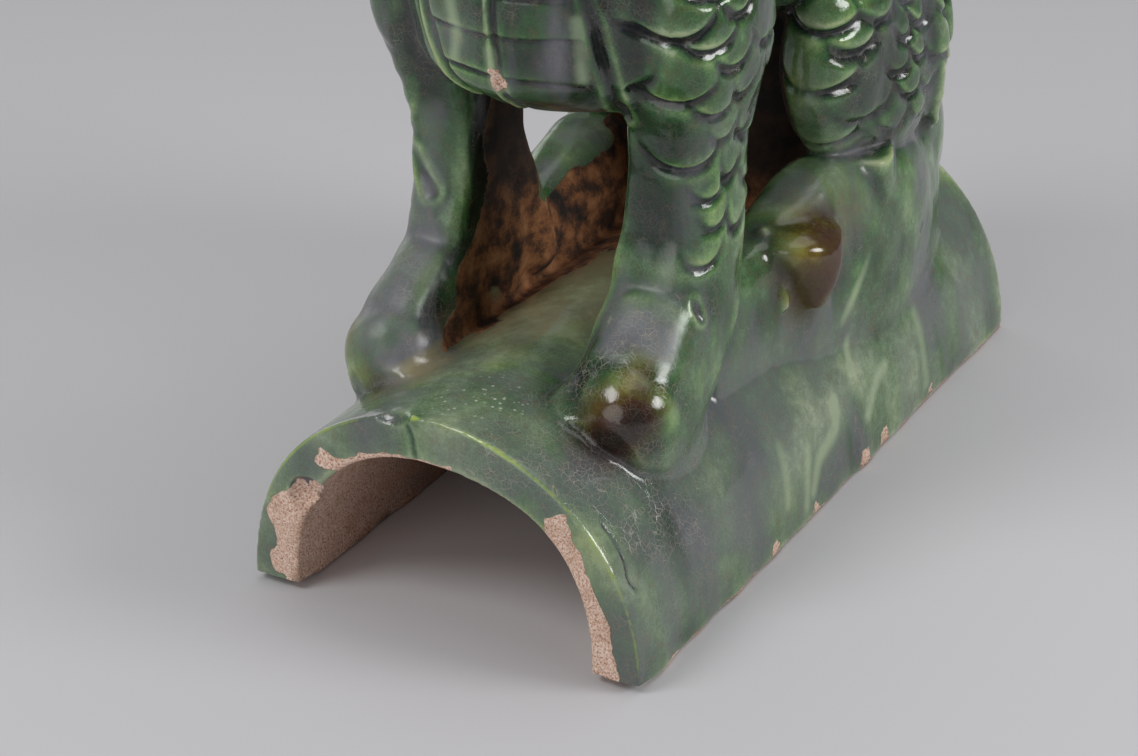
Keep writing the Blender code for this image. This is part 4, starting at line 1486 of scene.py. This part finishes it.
pupils = [grown(EYE * (side, 1, 1) + EYE_RADIUS * np.array((side * 0.66, -0.72, 0.1))) for side in (-1, 1)]
nostrils = [grown((side * 0.015, -0.1318, HEAD_Z + 0.014)) for side in (-1, 1)]
holes = [(place, PUPIL_SIZE) for place in pupils] + [(place, NOSTRIL_SIZE) for place in nostrils]
for centre, size in holes:
    face = pressed(face, centre, size)
face = relaxed(face, head_edges, 1)
set_points(head.data, face)

fine = hollowness(face, head_quads, head_edges, 8, 0.0004)
broad = hollowness(face, head_quads, head_edges, 60, 0.0014)
eyes = [tuple(grown(EYE * (side, 1, 1)) * 1000) + (11.5, 0.9) for side in (-1, 1)]
dark = [tuple(place * 1000) + (4.0, 1.2) for place in pupils]
mouth = [tuple(grown((0, y, HEAD_Z - 0.02)) * 1000) + (12, 0.9) for y in (-0.085, -0.098, -0.11)]
teeth_z = grown((0, 0, HEAD_Z - 0.013))[2]
toothy = bell(face[:, 2] - teeth_z, 0.0045) * smooth_step(-0.104, -0.112, face[:, 1])
nothing = np.zeros(len(face))
head_marks = dict.fromkeys(marks, nothing)
head_marks["crack_gap"] = nothing + 3
head_marks["arris_gap"] = nothing + 5
head_marks["pool"] = 0.65 * fine + 0.45 * broad
head_marks["amber"] = np.clip(blots(face, eyes + mouth), 0, 1)
head_marks["thickness_and_painted_light"] = 0.06 + blots(face, dark + mouth) * 0.5
head_marks["pale"] = 0.6 * toothy
head_marks["crazed"] = 0.3 + 0.3 * waves(face, 0.05, 32)
# A faint painted sheen on the head too.
head_marks["painted_sheen"] = 0.3 * np.maximum(waves(face, 0.05, 33), 0)
give(head.data, head_marks)
HEAD_TRIANGLES = 150000
thinned(head, HEAD_TRIANGLES)

# %% [markdown]
# ## The glaze
#
# Lead glaze coloured with copper is clear bottle green. Thin, over an edge, it is pale yellow green; in a
# hollow it is nearly black; where its gloss reflects the room a grey violet sheen is painted on it. It
# crazes into a fine net, and where it missed the clay the body is a sandy pink buff, with painted shade
# under the belly and in the tunnel.


# %% Material helpers
def linear(hex_colour):
    """An sRGB hex colour as linear red, green, blue and alpha."""
    parts = [int(hex_colour[i : i + 2], 16) / 255 for i in (1, 3, 5)]
    return [c / 12.92 if c <= 0.04045 else ((c + 0.055) / 1.055) ** 2.4 for c in parts] + [1.0]


def per_mm(size):
    """Texture scale whose features are this many millimetres."""
    return 1000.0 / size


def add(tree, kind, *values, stops=None, **settings):
    """Adds a shader node and gives back its outputs.

    values fill its inputs in order, or by name where one is a dict. A value that is another node's output is
    linked, None leaves an input alone, and stops are (place, hex colour) pairs of a colour ramp.
    """
    made = tree.nodes.new("ShaderNode" + kind)
    for name, value in settings.items():
        setattr(made, name, value)
    if stops:
        elements = made.color_ramp.elements
        while len(elements) < len(stops):
            elements.new(0.5)
        for element, (place, colour) in zip(elements, stops):
            element.position, element.color = place, linear(colour)
    for index, value in enumerate(values):
        for name, item in value.items() if isinstance(value, dict) else [(index, value)]:
            if isinstance(item, bpy.types.NodeSocket):
                tree.links.new(item, made.inputs[name])
            elif item is not None:
                made.inputs[name].default_value = linear(item) if isinstance(item, str) else item
    return made.outputs


# %% Green lead glaze over buff clay
def green_lead_glaze():
    """Deep bottle-green gloss with painted grey violet sheen, amber pools, pale craze lines, bare sandy clay.
    """
    material = bpy.data.materials.new("green_lead_glaze_on_buff_clay")
    material.use_nodes = True
    tree = material.node_tree
    tree.nodes.clear()

    def node(kind, *values, **settings):
        return add(tree, kind, *values, **settings)

    def scaled(value, factor, plus, use_clamp=False):
        """value * factor + plus."""
        return node("Math", value, factor, plus, operation="MULTIPLY_ADD", use_clamp=use_clamp)[0]

    def held(value, factor, plus):
        """The same, held between 0 and 1."""
        return scaled(value, factor, plus, use_clamp=True)

    def times(value, factor, use_clamp=False):
        return node("Math", value, factor, operation="MULTIPLY", use_clamp=use_clamp)[0]

    def larger(first, second):
        return node("Math", first, second, operation="MAXIMUM")[0]

    def mixed(share, first, second):
        """The first colour where share is 0, and the second where it is 1."""
        return node("Mix", {0: share, 6: first, 7: second}, data_type="RGBA")[2]

    def noise(vector, size, **values):
        """Noise with features of this many millimetres."""
        return node("TexNoise", {"Vector": vector, "Scale": per_mm(size), **values})[0]

    place = node("TexCoord")["Object"]
    runs_place = node("Mapping", {"Vector": place, "Scale": (1, 1, 0.2)})[0]
    mark = {name: node("Attribute", attribute_name=name)["Fac"] for name in marks}
    runs = noise(runs_place, 17, Detail=2.5, Roughness=0.45)
    clouds = noise(place, 22, Detail=3.0)
    mottle = noise(place, 3.5, Detail=5.0, Roughness=0.68)
    grit = noise(place, 0.7, Detail=3.0, Roughness=0.75)
    stain = noise(place, 9, Detail=5.0, Roughness=0.6)

    # Thickness: the hollows and the patches, which carry painted shade and light, then runs down the flanks,
    # slow clouds and a fine mottle.
    thick = scaled(mark["pool"], 0.8, 0.5)
    thick = scaled(mark["thickness_and_painted_light"], 1.0, thick)
    for pattern, strength in ((runs, 0.6), (clouds, 0.8), (mottle, 0.5), (grit, 0.36)):
        centred = scaled(thick, 1.0, -0.5 * strength)
        thick = scaled(pattern, strength, centred)
    thick = held(mark["pale"], -0.3, thick)
    old_green = [(0.0, "#a9b892"), (0.16, "#859b76"), (0.32, "#5f7d56"), (0.5, "#3a5839"), (0.7, "#233628")]
    glaze = node("ValToRGB", thick, stops=old_green + [(0.95, "#12181a")])[0]
    deep_green = [(0.0, "#a3b866"), (0.2, "#6f9a4a"), (0.42, "#37682f"), (0.66, "#1a3f1f")]
    deep = node("ValToRGB", thick, stops=deep_green + [(0.95, "#0b1a12")])[0]
    vivid = noise(place, 26, Detail=3.0, Distortion=0.4)
    vivid = held(vivid, 5.0, scaled(mark["on_tile"], -0.4, -2.0))
    glaze = mixed(times(vivid, 0.65), glaze, deep)

    # Painted reflection: a grey violet sheen of the room in the glaze, in broad streaks, strongest on the tile.
    painted_veil = noise(runs_place, 24, Detail=4.0, Distortion=0.5)
    painted_veil = scaled(painted_veil, 6.0, scaled(mark["on_tile"], 0.85, -3.1))
    painted_veil = held(mark["painted_sheen"], 1.3, painted_veil)
    cover = scaled(mark["painted_sheen"], 0.25, scaled(thick, 0.6, 0.24))
    painted_veil = times(painted_veil, cover, use_clamp=True)
    painted_veil = times(painted_veil, held(mark["amber"], -0.9, 1.0))
    glaze = mixed(painted_veil, glaze, "#727279")
    dirt = held(mark["tan_dirt"], 0.9, scaled(mottle, 0.5, -0.25))
    glaze = mixed(dirt, glaze, "#948a68")
    # Pale glaze runs, and one painted highlight line on the hind foot.
    pale_run_and_highlight = held(mark["pale"], 0.85, scaled(mottle, 0.5, -0.25))
    pale_run_and_highlight = times(pale_run_and_highlight, held(mark["pale"], 4.0, 0.0))
    glaze = mixed(pale_run_and_highlight, glaze, "#9cae8c")

    # Thin line of bright glaze along the front arris, with breaks.
    line = held(mark["arris_gap"], -1.2, scaled(mottle, 1.8, 0.35))
    glaze = mixed(line, glaze, "#a6c054")

    # Iron: amber where the glaze pools on the paws, dark brown in its middle, redder on the knob.
    amber_edge = held(mottle, 0.7, scaled(mark["amber"], 1.0, -0.35))
    amber_depth = scaled(thick, 0.6, times(mark["amber"], 0.15))
    iron_brown = [(0.28, "#9a801c"), (0.42, "#69540e"), (0.6, "#3c1f0b"), (0.8, "#15100c")]
    iron = node("ValToRGB", amber_depth, stops=iron_brown)[0]
    redder = held(stain, 4.0, scaled(mark["brown_clay_and_shade"], 2.4, -1.8))
    iron = mixed(times(redder, 0.7), iron, "#4a1c0c")
    glaze = mixed(times(amber_edge, 0.88), glaze, iron)

    # Craze lines: pale dirt in a fine net, finer cells inside coarse ones.
    bent = node("TexNoise", {"Vector": place, "Scale": per_mm(8), "Detail": 2.0})["Color"]
    bent = node("VectorMath", bent, (0.0022, 0.0022, 0.0022), place, operation="MULTIPLY_ADD")[0]
    net = 0.0
    for size, sharp, share in ((2.6, 24.0, 0.85), (1.2, 12.0, 0.38)):
        cells = node("TexVoronoi", {"Vector": bent, "Scale": per_mm(size)}, feature="DISTANCE_TO_EDGE")
        cells = cells["Distance"]
        lines = times(held(cells, -sharp, 1.0), share)
        net = larger(lines, net)
    broken = noise(place, 7, Detail=3.0)
    broken = held(broken, 3.0, -0.95)
    shown = held(mark["crazed"], 0.85, held(clouds, 1.2, -0.45))
    shown = times(shown, held(mark["amber"], -0.8, 1.0))
    net = times(net, times(broken, shown))
    glaze = mixed(net, glaze, "#b3b0a0")

    # Flecks of white slip, and dirt in the cracks.
    dots = node("TexVoronoi", {"Vector": place, "Scale": per_mm(2.6)}, feature="F1")["Distance"]
    dots = times(held(dots, -9.0, 2.2), mark["speckled"], use_clamp=True)
    glaze = mixed(dots, glaze, "#d2d5c2")
    crack = held(mark["crack_gap"], -2.6, 1.25)
    glaze = mixed(crack, glaze, "#15120e")

    # Bare clay: sandy pink buff, and red brown and rough between the legs, darkened there by painted shade.
    buff = [(0.33, "#94573b"), (0.43, "#d6a88c"), (0.54, "#f2d6c3"), (0.7, "#fdf0e6")]
    clay = node("ValToRGB", grit, stops=buff)[0]
    rusty = held(stain, 2.4, -1.2)
    clay = mixed(rusty, clay, "#a97c58")
    red_brown = [(0.34, "#150c07"), (0.46, "#55331b"), (0.58, "#935f36"), (0.76, "#b5855a")]
    patchy = scaled(stain, 1.1, scaled(grit, 0.25, -0.16))
    dark_clay = node("ValToRGB", patchy, stops=red_brown)[0]
    browned = held(mark["brown_clay_and_shade"], 2.2, 0.0)
    clay = mixed(browned, clay, dark_clay)
    # Painted shade: near black clay under the belly, between the legs and deep in the tunnel.
    clay = mixed(times(mark["painted_shade"], 0.9), clay, "#120d0a")
    ragged = scaled(mottle, 0.55, scaled(mark["bare"], 1.0, -0.275))
    edge = scaled(mark["brown_clay_and_shade"], -10.0, 14.0)
    ragged = held(scaled(ragged, 1.0, -0.5), edge, 0.5)
    colour = mixed(ragged, glaze, clay)

    # Gloss: open glaze is nearly a mirror, the painted sheen and filled grooves are satin, and bare clay is
    # matt.
    rough = scaled(painted_veil, 0.08, scaled(mottle, 0.1, 0.05))
    rough = scaled(mark["painted_sheen"], 0.28, rough)
    rough = held(held(mark["pool"], 1.4, -0.35), 0.9, rough)
    rough = larger(rough, times(ragged, 0.88))

    # Small relief: glaze lies in slow swells, the sandy clay is rough, craze lines are barely cut.
    swells = noise(place, 8, Detail=1.0)
    sandy = times(scaled(stain, 2.5, grit), ragged)
    height = 0.0
    for shape, millimetres in ((swells, 0.5), (mottle, 0.08), (net, -0.05), (ragged, -0.4), (sandy, 0.4)):
        height = scaled(shape, millimetres, height)
    normal = node("Bump", {"Strength": 1.0, "Distance": 0.001, "Height": height})[0]
    surface = node("BsdfPrincipled", {"Base Color": colour, "Roughness": rough, "IOR": 1.62, "Normal": normal})
    node("OutputMaterial", surface[0])
    return material


glaze_material = green_lead_glaze()
print("glaze:", len(glaze_material.node_tree.nodes), "nodes")
for piece in (body, head):
    piece.data.materials.clear()
    piece.data.materials.append(glaze_material)
    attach(piece, "root")
    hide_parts("ridge_beast_tile")

# %% [markdown]
# ## Floor and light
#
# The tile stands on plain pale paper. Two round lamps, half a metre across, give the highlights, and three
# broad panels, overhead, in front and to one side, with a dim room round them, give the fill. A sky texture
# could light it, but lamps can be moved until each highlight sits where a lamp in the real room put it.

# %% Floor and lights
floor_size = 6.0
floor_points = np.array([(-1, -1, 0), (1, -1, 0), (1, 1, 0), (-1, 1, 0)], float) * floor_size
floor = mesh_object("floor", floor_points, [(0, 1, 2, 3)])
paper = bpy.data.materials.new("matt_grey_paper")
paper.use_nodes = True
paper_shader = paper.node_tree.nodes["Principled BSDF"]
paper_shader.inputs["Base Color"].default_value = linear("#cecdcf")
paper_shader.inputs["Roughness"].default_value = 0.9
floor.data.materials.append(paper)
print("floor", floor_size * 2, "m across")


def lamp(name, towards, distance, size, power):
    """A round soft light aimed at the middle of the tile."""
    light = bpy.data.lights.new(name, "AREA")
    light.shape = "DISK"
    light.size = size
    light.energy = power
    made = bpy.data.objects.new(name, light)
    direction = Vector(towards).normalized()
    made.location = Vector((0, 0, 0.08)) + direction * distance
    made.rotation_euler = (-direction).to_track_quat("-Z", "Y").to_euler()
    bpy.context.scene.collection.objects.link(made)
    return made


lamp("left_lamp", (-0.34, -0.59, 0.735), 1.2, 0.5, 4.2)
lamp("right_lamp", (0.87, 0.17, 0.45), 1.2, 0.5, 6.0)
lamp("ceiling_panel", (0.05, 0.25, 1.0), 2.0, 2.2, 11.4)
lamp("front_panel", (-0.1, -1.0, 0.3), 2.2, 1.6, 8.2)
lamp("side_window", (-0.88, 0.44, 0.17), 2.0, 1.2, 4.0)
world = bpy.data.worlds.new("soft_room")
world.use_nodes = True
world.node_tree.nodes["Background"].inputs["Color"].default_value = linear("#e3e3e8")
world.node_tree.nodes["Background"].inputs["Strength"].default_value = 0.24
bpy.context.scene.world = world
bpy.context.scene.view_settings.view_transform = "Standard"
